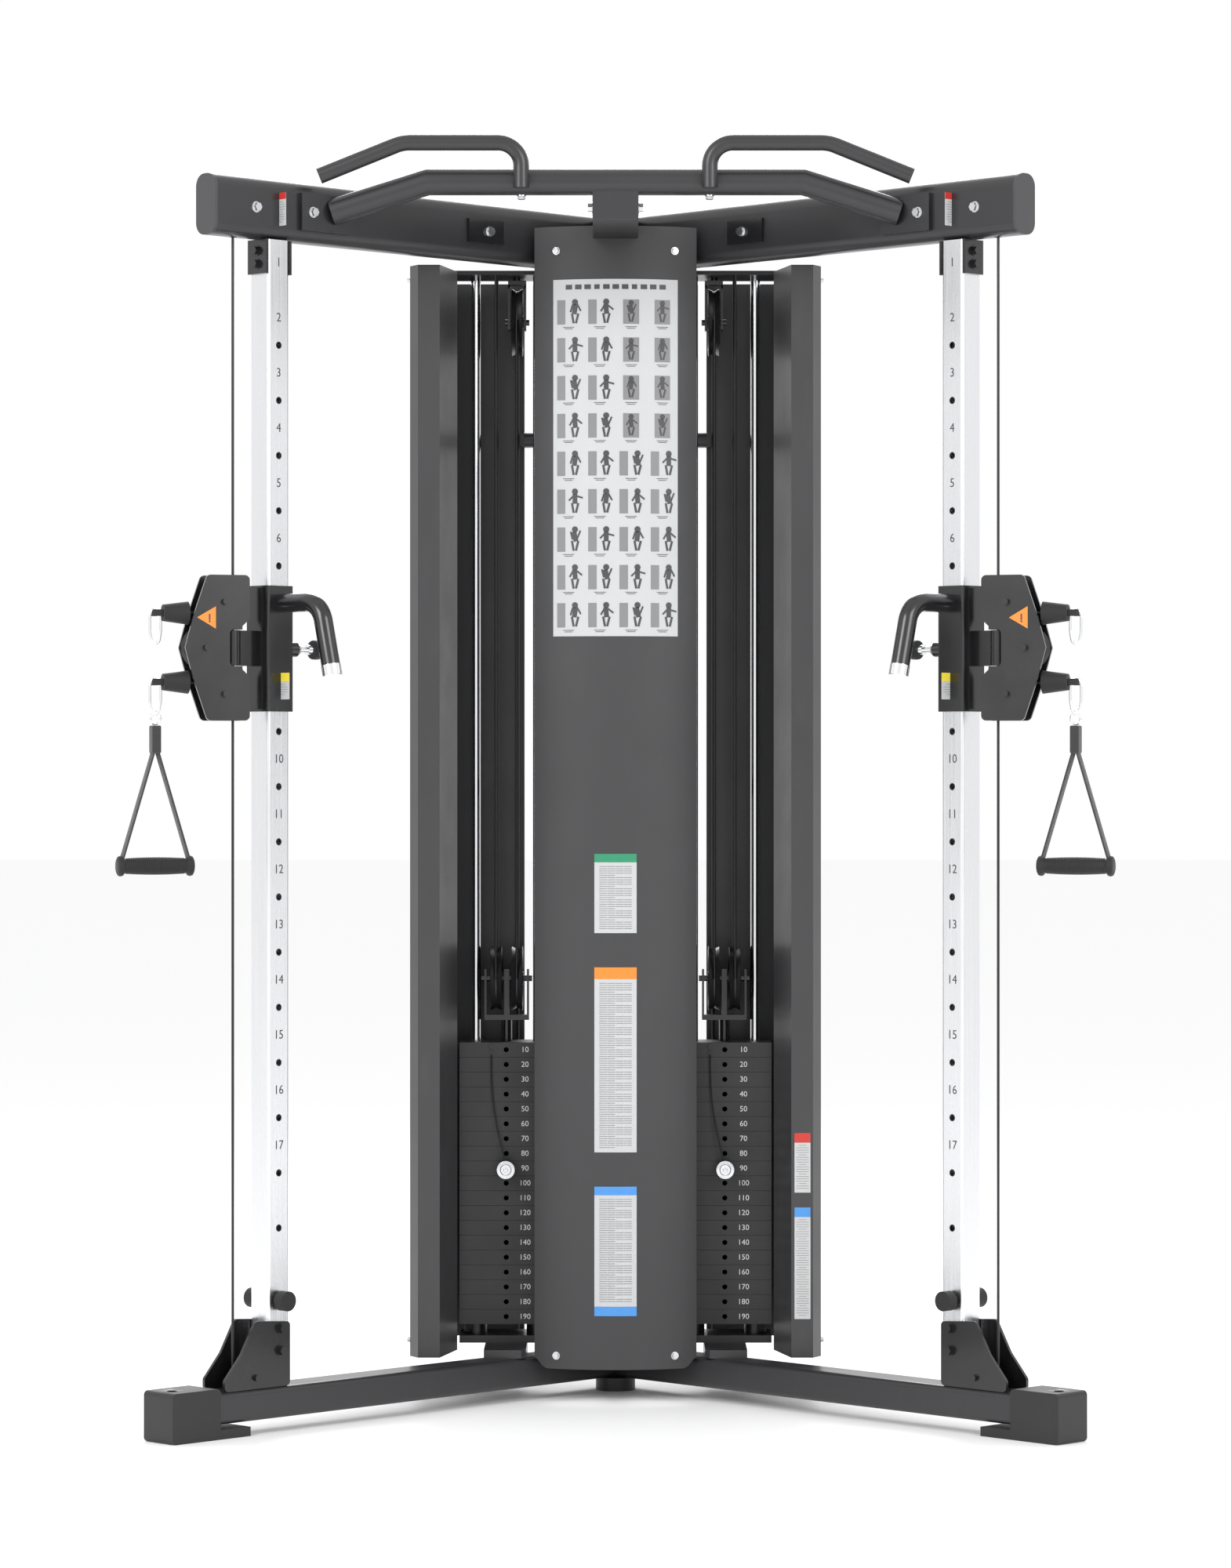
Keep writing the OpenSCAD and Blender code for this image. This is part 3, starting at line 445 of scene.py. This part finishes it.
def lathe(bm, profile, place, steps=40):
    """Spins a profile of (radius, height) points about the matrix's Z."""
    old = set(bm.verts)
    ring = [bm.verts.new((max(r, POLE), 0, z)) for r, z in profile]
    edges = [bm.edges.new(pair) for pair in zip(ring, ring[1:])]
    bmesh.ops.spin(bm, geom=ring + edges, cent=(0, 0, 0), axis=(0, 0, 1),
                   angle=math.tau, steps=steps, use_merge=True)
    bmesh.ops.remove_doubles(bm, verts=[v for v in bm.verts if v not in old], dist=MERGE)
    fresh = [v for v in bm.verts if v not in old]
    faces = list({face for v in fresh for face in v.link_faces})
    bmesh.ops.recalc_face_normals(bm, faces=faces)
    bmesh.ops.transform(bm, matrix=place, verts=fresh)


def wire_piece(name, points, radius, finish, body, closed=False):
    """A round wire along a smooth curve through points, made a mesh in place."""
    curve = bpy.data.curves.new(name, "CURVE")
    curve.dimensions = "3D"
    curve.bevel_depth = radius
    curve.bevel_resolution = 4
    curve.resolution_u = 6
    curve.use_fill_caps = not closed
    spline = curve.splines.new("BEZIER")
    spline.bezier_points.add(len(points) - 1)
    spline.use_cyclic_u = closed
    for knot, point in zip(spline.bezier_points, points):
        knot.co = point
        knot.handle_left_type = knot.handle_right_type = "AUTO"
    piece = mesh_of(name, curve)
    bm = bmesh.new()
    bm.from_mesh(piece)
    for face in bm.faces:
        face.smooth = True
    bpy.data.meshes.remove(piece)
    return keep_piece(name, bm, finish, body)


def mesh_of(name, data):
    """The mesh of a curve or text."""
    holder = bpy.data.objects.new(name + " source", data)
    bpy.context.scene.collection.objects.link(holder)
    bpy.context.view_layer.update()
    graph = bpy.context.evaluated_depsgraph_get()
    mesh = bpy.data.meshes.new_from_object(holder.evaluated_get(graph))
    bpy.data.objects.remove(holder)
    return mesh


def numeral(bm, label, height, place):
    """Adds a number, centred, on the matrix's XY plane."""
    text = bpy.data.curves.new("numeral", "FONT")
    text.body = str(label)
    text.size = height * 1.35
    text.align_x = "CENTER"
    text.align_y = "CENTER"
    text.extrude = 0.00012
    text.resolution_u = 3
    mesh = mesh_of("numeral", text)
    mesh.transform(place)
    bm.from_mesh(mesh)
    bpy.data.meshes.remove(mesh)


def facing(origin, right, up):
    """A matrix whose X is right, Y is up and Z points out of the surface."""
    right = Vector(right).normalized()
    up = Vector(up).normalized()
    out = right.cross(up)
    place = Matrix((right, up, out)).transposed().to_4x4()
    place.translation = Vector(origin)
    return place


# ---------- places taken from the frame ----------

JOINTS = {j["name"]: j for j in frame["joints"]}


def middle(node):
    """The centre of a node's box."""
    low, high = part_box(node)
    return (low + high) / 2


def head_axes(s):
    """The head's outward direction and its sideways axis."""
    axis = Vector(JOINTS[("left" if s < 0 else "right") + "_head_sheave_spin"]["axis"])
    out = axis.cross(UP)
    if out.x * s < 0:
        out = -out
    return out.normalized(), axis.normalized()


def front_axis(axis):
    """The sideways axis turned to the front."""
    return axis if axis.y < 0 else -axis


def panel_arc():
    """Radius and centre of the panel's outer face, from its labels."""
    low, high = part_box("panel_labels")
    half = high.x
    rise = high.y - low.y - SKIN
    radius = (half * half + rise * rise) / (2 * rise)
    return radius, low.y + SKIN + radius


PANEL_R, PANEL_CY = panel_arc()
PLACARD_H = 0.676
STICKER_HALF = 0.040
# Each sticker's colour, bottom, top, and the heights of its head and foot bands.
STICKERS = (
    ("green", 0.890, 1.040, 0.016, 0.0),
    ("orange", 0.475, 0.825, 0.022, 0.0),
    ("blue", 0.165, 0.410, 0.016, 0.018),
)


def panel_place(x, z, lift):
    """A matrix on the placard's face at x and z, Z pointing outward."""
    angle = math.asin(x / PANEL_R)
    reach = PANEL_R + SKIN + lift
    origin = (reach * math.sin(angle), PANEL_CY - reach * math.cos(angle), z)
    return facing(origin, (math.cos(angle), math.sin(angle), 0), UP)


# ---------- operators ----------


class PieceOperator(bpy.types.Operator):
    """Shared settings of the trainer's operators"""

    bl_options = {"REGISTER", "UNDO"}

    @property
    def sizes(self):
        """The size settings."""
        return bpy.context.scene.trainer_sizes


class TRAINER_OT_stage(PieceOperator):
    """Adds the floor, the soft lights and the camera"""

    bl_idname = "trainer.stage"
    bl_label = "Stage"

    def execute(self, context):
        """Builds the stage."""
        scene = context.scene
        bm = bmesh.new()
        bmesh.ops.create_grid(bm, x_segments=1, y_segments=1, size=60)
        mesh = bpy.data.meshes.new("studio floor")
        bm.to_mesh(mesh)
        bm.free()
        paper = bpy.data.materials.new("pale floor")
        paper.use_nodes = True
        shader = paper.node_tree.nodes["Principled BSDF"]
        shader.inputs["Base Color"].default_value = (0.95, 0.95, 0.95, 1)
        shader.inputs["Roughness"].default_value = 0.7
        mesh.materials.append(paper)
        floor = bpy.data.objects.new("studio floor", mesh)
        scene.collection.objects.link(floor)
        world = bpy.data.worlds.new("studio air")
        world.use_nodes = True
        air = world.node_tree.nodes["Background"]
        air.inputs["Color"].default_value = (1, 1, 1, 1)
        air.inputs["Strength"].default_value = 1.0
        scene.world = world
        lamps = (
            ("key lamp", (-4.5, -6.0, 4.6), 260, 3.5),
            ("fill lamp", (4.5, -6.0, 4.0), 200, 3.5),
            ("back lamp", (0.0, 4.5, 4.5), 160, 3.0),
        )
        for name, spot, power, size in lamps:
            lamp = bpy.data.lights.new(name, "AREA")
            lamp.energy = power
            lamp.size = size
            holder = bpy.data.objects.new(name, lamp)
            holder.location = spot
            aim = Vector((0, 0, 1.1)) - Vector(spot)
            holder.rotation_euler = aim.to_track_quat("-Z", "Y").to_euler()
            scene.collection.objects.link(holder)
        lens = bpy.data.cameras.new("front camera")
        lens.lens = 112.9
        lens.sensor_width = 36
        lens.shift_y = -0.005
        lens.clip_end = 200
        camera = bpy.data.objects.new("front camera", lens)
        camera.location = (0, -9.558, 1.187)
        camera.rotation_euler = (math.pi / 2, 0, 0)
        scene.collection.objects.link(camera)
        scene.camera = camera
        scene.view_settings.view_transform = "Standard"
        return {"FINISHED"}


class TRAINER_OT_finishes(PieceOperator):
    """Makes the materials and paints every CAD node"""

    bl_idname = "trainer.finishes"
    bl_label = "Finishes"

    def execute(self, context):
        """Builds the finishes."""
        make_groups()
        FINISH.update(make_finishes(context.scene.trainer_finish))
        paint_nodes()
        return {"FINISHED"}


def figure(bm, x, z, size, pose):
    """A standing exercise figure: head, trunk, two legs and two arms."""
    lift = 0.5 * MM
    disc(bm, size * 0.13, 0.2 * MM, panel_place(x, z + size * 0.42, lift), 12)
    lean = (-0.15, 0.1, 0.22, 0.0)[pose % 4]
    reach = (0.5, 0.9, -0.4, 1.3)[pose % 4]
    # Each limb's place, width, height and turn, as shares of the figure's size.
    limbs = (
        (0, 0.12, 0.2, 0.42, lean),
        (-0.09, -0.27, 0.09, 0.42, 0.18),
        (0.09, -0.27, 0.09, 0.42, -0.25),
        (0.16, 0.2, 0.07, 0.36, reach),
        (-0.14, 0.16, 0.07, 0.34, -reach * 0.6),
    )
    for dx, dz, w, h, turn in limbs:
        place = panel_place(x + dx * size, z + dz * size, lift)
        block(bm, (w * size, h * size, 0.2 * MM), place @ Matrix.Rotation(turn, 4, "Z"))


class TRAINER_OT_placard(PieceOperator):
    """Prints rows of exercise pictograms on the placard"""

    bl_idname = "trainer.placard"
    bl_label = "Placard"

    def execute(self, context):
        """Builds the placard's prints."""
        low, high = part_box("panel_labels")
        left, right, top = low.x, high.x, high.z
        bottom = top - PLACARD_H
        figures = bmesh.new()
        stations = bmesh.new()
        lines = bmesh.new()
        rows, columns = 9, 4
        row_h = (top - bottom - 0.03) / rows
        col_w = (right - left) / columns
        for row in range(rows):
            for column in range(columns):
                x = left + col_w * (column + 0.5)
                z = top - 0.026 - row_h * (row + 0.5)
                wide = column > 1 and row < 4
                if wide:
                    block(stations, (0.03, 0.046, 0.15 * MM), panel_place(x, z, 0.2 * MM))
                    figure(figures, x, z, 0.04, row + column)
                else:
                    block(stations, (0.016, 0.046, 0.15 * MM),
                          panel_place(x - 0.014, z, 0.2 * MM))
                    figure(figures, x + 0.012, z, 0.045, row * 3 + column)
                for k in range(2):
                    block(lines, (0.022 - 0.006 * k, 1.1 * MM, 0.15 * MM),
                          panel_place(x, z - 0.0285 - 0.003 * k, 0.2 * MM))
        for k in range(11):
            gap = 1.25 if k in (3, 7) else 1.0
            block(lines, (0.0125 / gap, 0.009, 0.15 * MM),
                  panel_place(left + 0.03 + k * 0.0177, top - 0.0145, 0.2 * MM))
        keep_piece("placard_figures", figures, "ink", "root")
        keep_piece("placard_stations", stations, "grey", "root")
        keep_piece("placard_lines", lines, "ink", "root")
        return {"FINISHED"}


class TRAINER_OT_panel_stickers(PieceOperator):
    """Colours the heads of the instruction stickers and rules their lines"""

    bl_idname = "trainer.panel_stickers"
    bl_label = "Panel stickers"

    def execute(self, context):
        """Builds the sticker prints."""
        half = STICKER_HALF
        for finish, bottom, top, head, foot in STICKERS:
            bands = bmesh.new()
            steps = 6
            for z, tall in ((top - head / 2, head), (bottom + foot / 2, foot)):
                for k in range(steps):
                    x = -half + 2 * half * (k + 0.5) / steps
                    if tall:
                        block(bands, (2 * half / steps, tall, 0.2 * MM),
                              panel_place(x, z, 0.2 * MM))
            keep_piece(finish + "_sticker_bands", bands, finish, "root")
            rules = bmesh.new()
            z = top - head - 0.008
            count = 0
            while z > bottom + foot + 0.006:
                long = 0.03 if count % 5 == 4 else 0.062
                for k in range(4):
                    x = -0.031 + long * (k + 0.5) / 4
                    block(rules, (long / 4 * 0.94, 1.0 * MM, 0.15 * MM),
                          panel_place(x, z, 0.15 * MM))
                z -= 0.0042
                count += 1
            keep_piece(finish + "_sticker_rules", rules, "grey", "root")
        return {"FINISHED"}


def flat_sticker(name, place, width, height, head, finish, body):
    """A small film label with a coloured head band and ruled lines."""
    film = bmesh.new()
    block(film, (width, height, 0.3 * MM), place)
    keep_piece(name + "_film", film, "film", body)
    band = bmesh.new()
    block(band, (width, head, 0.2 * MM),
          place @ Matrix.Translation((0, (height - head) / 2, 0.3 * MM)))
    keep_piece(name + "_band", band, finish, body)
    rules = bmesh.new()
    step = 0.0045
    for k in range(int((height - head - 0.006) / step)):
        y = height / 2 - head - 0.005 - k * step
        block(rules, (width * (0.78 if k % 4 else 0.5), 0.9 * MM, 0.15 * MM),
              place @ Matrix.Translation((0, y, 0.25 * MM)))
    keep_piece(name + "_rules", rules, "grey", body)


class TRAINER_OT_small_labels(PieceOperator):
    """Sticks the small labels on the beams, the cover and the sleeves"""

    bl_idname = "trainer.small_labels"
    bl_label = "Small labels"

    def execute(self, context):
        """Builds the small labels."""
        for side, s in SIDES:
            right = Vector((1, s, 0)).normalized()
            post = middle(side + "_post")
            beam_low, beam_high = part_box(side + "_top_beam")
            out = Vector((-s, -1, 0)).normalized()
            spot = Vector((post.x, post.y, (beam_low.z + beam_high.z) / 2)) + out * 0.0270
            flat_sticker(side + "_beam_label", facing(spot, right, UP),
                         0.036, 0.06, 0.012, "red", "root")
            sleeve_low, sleeve_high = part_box(side + "_sleeve")
            spot = Vector((post.x, post.y, sleeve_low.z + 0.046)) + out * 0.0313
            flat_sticker(side + "_sleeve_label", facing(spot, right, UP),
                         0.046, 0.048, 0.016, "yellow", side + "_carriage")
        low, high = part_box("right_cover")
        front = low.y - 0.3 * MM
        for name, z, tall, finish in (("upper", 0.459, 0.112, "red"),
                                      ("lower", 0.27, 0.21, "blue")):
            flat_sticker(name + "_cover_label",
                         facing((0.352, front, z), (1, 0, 0), UP),
                         0.030, tall, 0.018, finish, "root")
        return {"FINISHED"}


class TRAINER_OT_warning_signs(PieceOperator):
    """Puts a plain warning triangle on each head's front cheek"""

    bl_idname = "trainer.warning_signs"
    bl_label = "Warning signs"

    def execute(self, context):
        """Builds the triangles."""
        for side, s in SIDES:
            out, axis = head_axes(s)
            front = front_axis(axis)
            pivot = Vector(JOINTS[side + "_head_swivel"]["pos_m"])
            right = UP.cross(front)
            spot = pivot + out * 0.050 + Vector((0, 0, 0.054)) + front * 0.0253
            place = facing(spot, right, UP)
            turned = place @ Matrix.Rotation(math.pi / 2, 4, "Z")
            sign = bmesh.new()
            disc(sign, 0.023, 0.4 * MM, turned, 3)
            keep_piece(side + "_warning_sign", sign, "orange", side + "_head")
            mark = bmesh.new()
            lift = Matrix.Translation((0, 0, 0.35 * MM))
            block(mark, (3.2 * MM, 11 * MM, 0.2 * MM),
                  place @ lift @ Matrix.Translation((0, 1 * MM, 0)))
            disc(mark, 1.9 * MM, 0.2 * MM, place @ lift @ Matrix.Translation((0, -7 * MM, 0)), 12)
            keep_piece(side + "_warning_mark", mark, "ink", side + "_head")
        return {"FINISHED"}


class TRAINER_OT_post_numbers(PieceOperator):
    """Numbers the carriage positions on both posts"""

    bl_idname = "trainer.post_numbers"
    bl_label = "Post numbers"

    def execute(self, context):
        """Builds the numbers."""
        top, pitch, count = 2.118, 0.100, 17
        face = 25.15 * MM
        for side, s in SIDES:
            post = middle(side + "_post")
            out = Vector((-s, -1, 0)).normalized()
            right = Vector((1, -s, 0)).normalized()
            numbers = bmesh.new()
            rims = bmesh.new()
            for k in range(count):
                spot = Vector((post.x, post.y, top - pitch * k)) + out * face
                numeral(numbers, k + 1, self.sizes.numeral, facing(spot, right, UP))
                hole = Vector((post.x, post.y, top - pitch * (k + 1.5))) + out * 0.0246
                lathe(rims, [(5.0 * MM, -1 * MM), (5.2 * MM, 0.5 * MM), (6.6 * MM, 0.6 * MM),
                             (6.8 * MM, 0.1 * MM)],
                      facing(hole, right, UP), 20)
            smooth(rims)
            keep_piece(side + "_post_numbers", numbers, "ink", "root")
            keep_piece(side + "_hole_rims", rims, "bracket", "root")
        return {"FINISHED"}


class TRAINER_OT_plate_numbers(PieceOperator):
    """Numbers the weight plates"""

    bl_idname = "trainer.plate_numbers"
    bl_label = "Plate numbers"

    def execute(self, context):
        """Builds the plate labels."""
        pitch = 28.5 * MM
        for side, s in SIDES:
            for node, body, first in (("lower_plates", "root", 9),
                                      ("lifted_plates", side + "_stack", 0)):
                low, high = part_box(side + "_" + node)
                x = (low.x + high.x) / 2 + 0.036
                eyelet = 0 if first else 3 * MM
                top = high.z - pitch / 2 + 0.5 * MM
                count = 10 if first else 9
                numbers = bmesh.new()
                for k in range(count):
                    spot = (x, low.y + eyelet - 0.2 * MM, top - k * pitch)
                    numeral(numbers, (first + k + 1) * 10, 11 * MM,
                            facing(spot, (1, 0, 0), UP))
                keep_piece(side + "_" + node + "_numbers", numbers, "white", body)
        return {"FINISHED"}


def carabiner_points(place, height, wide):
    """A pear-shaped loop hanging down the matrix's Y."""
    shape = ((0, 0.5), (0.42, 0.36), (0.5, 0.08), (0.42, -0.3), (0.2, -0.48),
             (-0.2, -0.48), (-0.42, -0.3), (-0.5, 0.08), (-0.42, 0.36))
    return [place @ Vector((x * wide, y * height, 0)) for x, y in shape]


class TRAINER_OT_hooks(PieceOperator):
    """Hangs a wire carabiner on each cable end"""

    bl_idname = "trainer.hooks"
    bl_label = "Hooks"

    def execute(self, context):
        """Builds the carabiners and their eyes."""
        for side, s in SIDES:
            out, axis = head_axes(s)
            swing = Vector(JOINTS[side + "_handle_swing"]["pos_m"])
            pivot = Vector(JOINTS[side + "_head_swivel"]["pos_m"])
            upper = Vector((swing.x, swing.y, 2 * pivot.z - swing.z))
            for name, spot, body in (("upper", upper, side + "_head"),
                                     ("lower", swing, side + "_handle")):
                place = facing(spot - Vector((0, 0, 24 * MM)), out, UP)
                wire_piece(f"{side}_{name}_hook", carabiner_points(place, 62 * MM, 20 * MM),
                           self.sizes.wire, "chrome", body, closed=True)
            for name, spot in (("upper", upper), ("lower", swing)):
                eye = bmesh.new()
                along = facing(spot - out * 6 * MM, axis, UP)
                lathe(eye, [(0, -3.2 * MM), (6.5 * MM, -3.2 * MM), (7.5 * MM, -2.2 * MM),
                            (7.5 * MM, 2.2 * MM), (6.5 * MM, 3.2 * MM), (0, 3.2 * MM)], along)
                smooth(eye)
                keep_piece(f"{side}_{name}_eye", eye, "chrome", side + "_head")
        return {"FINISHED"}


def strap_leg(bm, top, bottom, width, thick, side_axis):
    """A flat strap between two points, with round edges."""
    run = Vector(bottom) - Vector(top)
    up = -run.normalized()
    place = facing((Vector(top) + Vector(bottom)) / 2, side_axis.cross(up) * -1, up)
    made = block(bm, (thick, run.length, width), place)
    edges = list({e for v in made for e in v.link_edges})
    bmesh.ops.bevel(bm, geom=edges, offset=thick * 0.3, segments=2, profile=0.5,
                    affect="EDGES", material=-1)


class TRAINER_OT_handles(PieceOperator):
    """Makes the strap handles: webbing, ring and moulded grip"""

    bl_idname = "trainer.handles"
    bl_label = "Handles"

    def execute(self, context):
        """Builds both handles."""
        thick = self.sizes.strap
        for side, s in SIDES:
            body = side + "_handle"
            out, axis = head_axes(s)
            eye = Vector(JOINTS[side + "_handle_swing"]["pos_m"])
            down = Vector((0, 0, -1))
            grip = eye + down * 0.330
            straps = bmesh.new()
            crotch = eye + down * 0.126
            for k in (-1, 1):
                strap_leg(straps, crotch + out * k * 4 * MM, grip + out * k * 62 * MM
                          - down * 10 * MM, 24 * MM, thick, axis)
            wrap = block(straps, (17 * MM, 50 * MM, 26 * MM),
                         facing(eye + down * 0.103, out, UP))
            edges = list({e for v in wrap for e in v.link_edges})
            bmesh.ops.bevel(straps, geom=edges, offset=3 * MM, segments=3, profile=0.5,
                            affect="EDGES", material=-1)
            smooth(straps, 0.9)
            piece = keep_piece(side + "_handle_webbing", straps, "webbing", body)
            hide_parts(side + "_handle")
            ring = [eye + down * 0.058 + out * 9 * MM * math.cos(a)
                    + down * 9 * MM * math.sin(a)
                    for a in [k * math.tau / 8 for k in range(8)]]
            wire_piece(side + "_handle_ring", [p + down * 8 * MM for p in ring],
                       2.4 * MM, "chrome", body, closed=True)
            barrel = bmesh.new()
            profile = [(0, -70), (14, -70), (17.5, -68), (18.6, -64), (17.5, -60), (14.2, -58),
                       (13.4, -56)]
            for k in range(-13, 14):
                swell = 15.6 - 1.6 * (k / 13) ** 2
                profile += [(swell, k * 4 - 1.2), (swell + 0.5, k * 4),
                            (swell, k * 4 + 1.2), (swell - 0.6, k * 4 + 2)]
            profile += [(13.4, 56), (14.2, 58), (17.5, 60), (18.6, 64), (17.5, 68), (14, 70),
                        (0, 70)]
            lathe(barrel, [(r * MM, z * MM) for r, z in profile],
                  facing(grip, axis, UP), 32)
            smooth(barrel, 0.9)
            keep_piece(side + "_handle_grip", barrel, "rubber", body)
        return {"FINISHED"}


class TRAINER_OT_knobs(PieceOperator):
    """Adds turned details to the selector pins and the pop pins"""

    bl_idname = "trainer.knobs"
    bl_label = "Knobs"

    def execute(self, context):
        """Builds the knob faces and nuts."""
        collar_face, knob_reach = 31 * MM, 92 * MM
        for side, s in SIDES:
            low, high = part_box(side + "_selector_pin")
            spot = Vector(((low.x + high.x) / 2, low.y, (low.z + high.z) / 2))
            face = bmesh.new()
            lathe(face, [(17.3 * MM, -20 * MM), (17.6 * MM, -2 * MM), (16.4 * MM, 0.6 * MM),
                         (11 * MM, 1.2 * MM), (9.6 * MM, 0.2 * MM), (4.5 * MM, 0.2 * MM),
                         (3.8 * MM, 1.8 * MM), (0, 2.2 * MM)],
                  facing(spot, (1, 0, 0), UP))
            smooth(face)
            keep_piece(side + "_selector_knob", face, "zinc", side + "_selector_pin")
            inward = Vector(JOINTS[side + "_pop_pin_pull"]["axis"])
            post = middle(side + "_post")
            hub = Vector((post.x, post.y, middle(side + "_pop_pin").z))
            knob = bmesh.new()
            tip = hub + inward * (collar_face + knob_reach)
            right = inward.cross(UP)
            place = facing(tip, right, UP)
            if place.to_3x3().col[2].dot(inward) < 0:
                place = facing(tip, -right, UP)
            lathe(knob, [(9 * MM, -19 * MM), (17.4 * MM, -18.4 * MM), (17.8 * MM, -12 * MM),
                         (17.4 * MM, -6 * MM), (15 * MM, -1 * MM), (8 * MM, 1.6 * MM),
                         (0, 2.4 * MM)], place)
            smooth(knob)
            keep_piece(side + "_pop_pin_knob", knob, "rubber", side + "_pop_pin")
            collar = bmesh.new()
            nut = place @ Matrix.Translation((0, 0, collar_face - knob_reach))
            disc(collar, 12.5 * MM, 9 * MM, nut, 6)
            keep_piece(side + "_pop_pin_nut", collar, "zinc", side + "_carriage")
        return {"FINISHED"}


class TRAINER_OT_grip_bands(PieceOperator):
    """Puts the bright end band on each grip tube"""

    bl_idname = "trainer.grip_bands"
    bl_label = "Grip bands"

    def execute(self, context):
        """Builds the bands at the end of the tube's path, as the frame has it."""
        turn = math.radians(76)
        bend, reach, drop, band, radius = (v * MM for v in (45, 72, 82, 20, 17.9))
        above, sleeve_half = 82 * MM, 31 * MM
        for side, s in SIDES:
            post = middle(side + "_post")
            out = Vector((-s, -1, 0)).normalized()
            top = middle(side + "_sleeve").z + above
            start = Vector((post.x, post.y, top)) + out * sleeve_half
            run = out * math.cos(turn) + Vector((0, 0, -1)) * math.sin(turn)
            end = (start + out * (reach + bend * math.sin(turn))
                   + Vector((0, 0, -1)) * bend * (1 - math.cos(turn)))
            right = run.cross(Vector((s, -1, 0)).normalized())
            up = run.cross(right) * -1
            place = facing(end + run * drop, right, up)
            if place.to_3x3().col[2].dot(run) < 0:
                place = facing(end + run * drop, -right, up)
            ring = bmesh.new()
            lathe(ring, [(radius - 1 * MM, 0), (radius, 0.8 * MM), (radius, band),
                         (radius - 1.5 * MM, band + 1.2 * MM), (0, band + 1.2 * MM)], place)
            smooth(ring)
            keep_piece(side + "_grip_band", ring, "chrome", side + "_carriage")
        return {"FINISHED"}


class TRAINER_OT_lanyards(PieceOperator):
    """Ties each selector pin to the head plate"""

    bl_idname = "trainer.lanyards"
    bl_label = "Lanyards"

    def execute(self, context):
        """Builds the thin cords."""
        for side, s in SIDES:
            low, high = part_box(side + "_selector_pin")
            plates_low, plates_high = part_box(side + "_lifted_plates")
            x = (low.x + high.x) / 2
            front = plates_low.y - 1.4 * MM
            z = plates_high.z - 22 * MM
            knob = (low.z + high.z) / 2
            drop = z - knob
            points = []
            count = 16
            for k in range(count + 1):
                t = k / count
                sway = 9 * MM * math.sin(t * math.pi)
                points.append(Vector((x - 28 * MM * (1 - t) - sway, front - 14 * MM * t * t,
                                      z - drop * t + 9 * MM * t)))
            wire_piece(side + "_lanyard", points, 1.3 * MM, "cable", side + "_stack")
        return {"FINISHED"}


class TRAINER_OT_foot_plugs(PieceOperator):
    """Lines the anchor hole in each foot with an oval plug"""

    bl_idname = "trainer.foot_plugs"
    bl_label = "Foot plugs"

    def execute(self, context):
        """Builds the plugs."""
        for mount in frame["record"]["mounts"]:
            if not mount["name"].endswith("_anchor"):
                continue
            x, y, z = mount["pos_m"]
            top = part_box("foot_caps")[1].z
            plug = bmesh.new()
            lathe(plug, [(9 * MM, -6 * MM), (9 * MM, -0.5 * MM), (16.6 * MM, 0.2 * MM),
                         (18.4 * MM, 0.6 * MM), (19.2 * MM, 0)],
                  Matrix.Translation((x, y, top)))
            smooth(plug)
            keep_piece(mount["name"] + "_plug", plug, "bracket", "root")
        return {"FINISHED"}


OPERATORS = (
    TRAINER_OT_stage,
    TRAINER_OT_finishes,
    TRAINER_OT_placard,
    TRAINER_OT_panel_stickers,
    TRAINER_OT_small_labels,
    TRAINER_OT_warning_signs,
    TRAINER_OT_post_numbers,
    TRAINER_OT_plate_numbers,
    TRAINER_OT_hooks,
    TRAINER_OT_handles,
    TRAINER_OT_knobs,
    TRAINER_OT_grip_bands,
    TRAINER_OT_lanyards,
    TRAINER_OT_foot_plugs,
)


class TRAINER_PT_panel(bpy.types.Panel):
    """Lists the trainer's settings and operators"""

    bl_idname = "TRAINER_PT_panel"
    bl_label = "Trainer"
    bl_space_type = "VIEW_3D"
    bl_region_type = "UI"
    bl_category = "Trainer"

    def draw(self, context):
        """Draws the settings, then one button for each operator."""
        for group in (context.scene.trainer_finish, context.scene.trainer_sizes):
            for name in group.__annotations__:
                self.layout.prop(group, name)
        for operator in OPERATORS:
            self.layout.operator(operator.bl_idname)


CLASSES = (TrainerFinish, TrainerSizes, *OPERATORS, TRAINER_PT_panel)


def register():
    """Registers the classes and the settings."""
    for cls in CLASSES:
        bpy.utils.register_class(cls)
    bpy.types.Scene.trainer_finish = PointerProperty(type=TrainerFinish)
    bpy.types.Scene.trainer_sizes = PointerProperty(type=TrainerSizes)


def unregister():
    """Removes the settings and the classes."""
    del bpy.types.Scene.trainer_finish
    del bpy.types.Scene.trainer_sizes
    for cls in reversed(CLASSES):
        bpy.utils.unregister_class(cls)


def main():
    """Builds the trainer."""
    register()
    for operator in OPERATORS:
        group, name = operator.bl_idname.split(".")
        getattr(getattr(bpy.ops, group), name)()


if __name__ == "__main__":
    main()
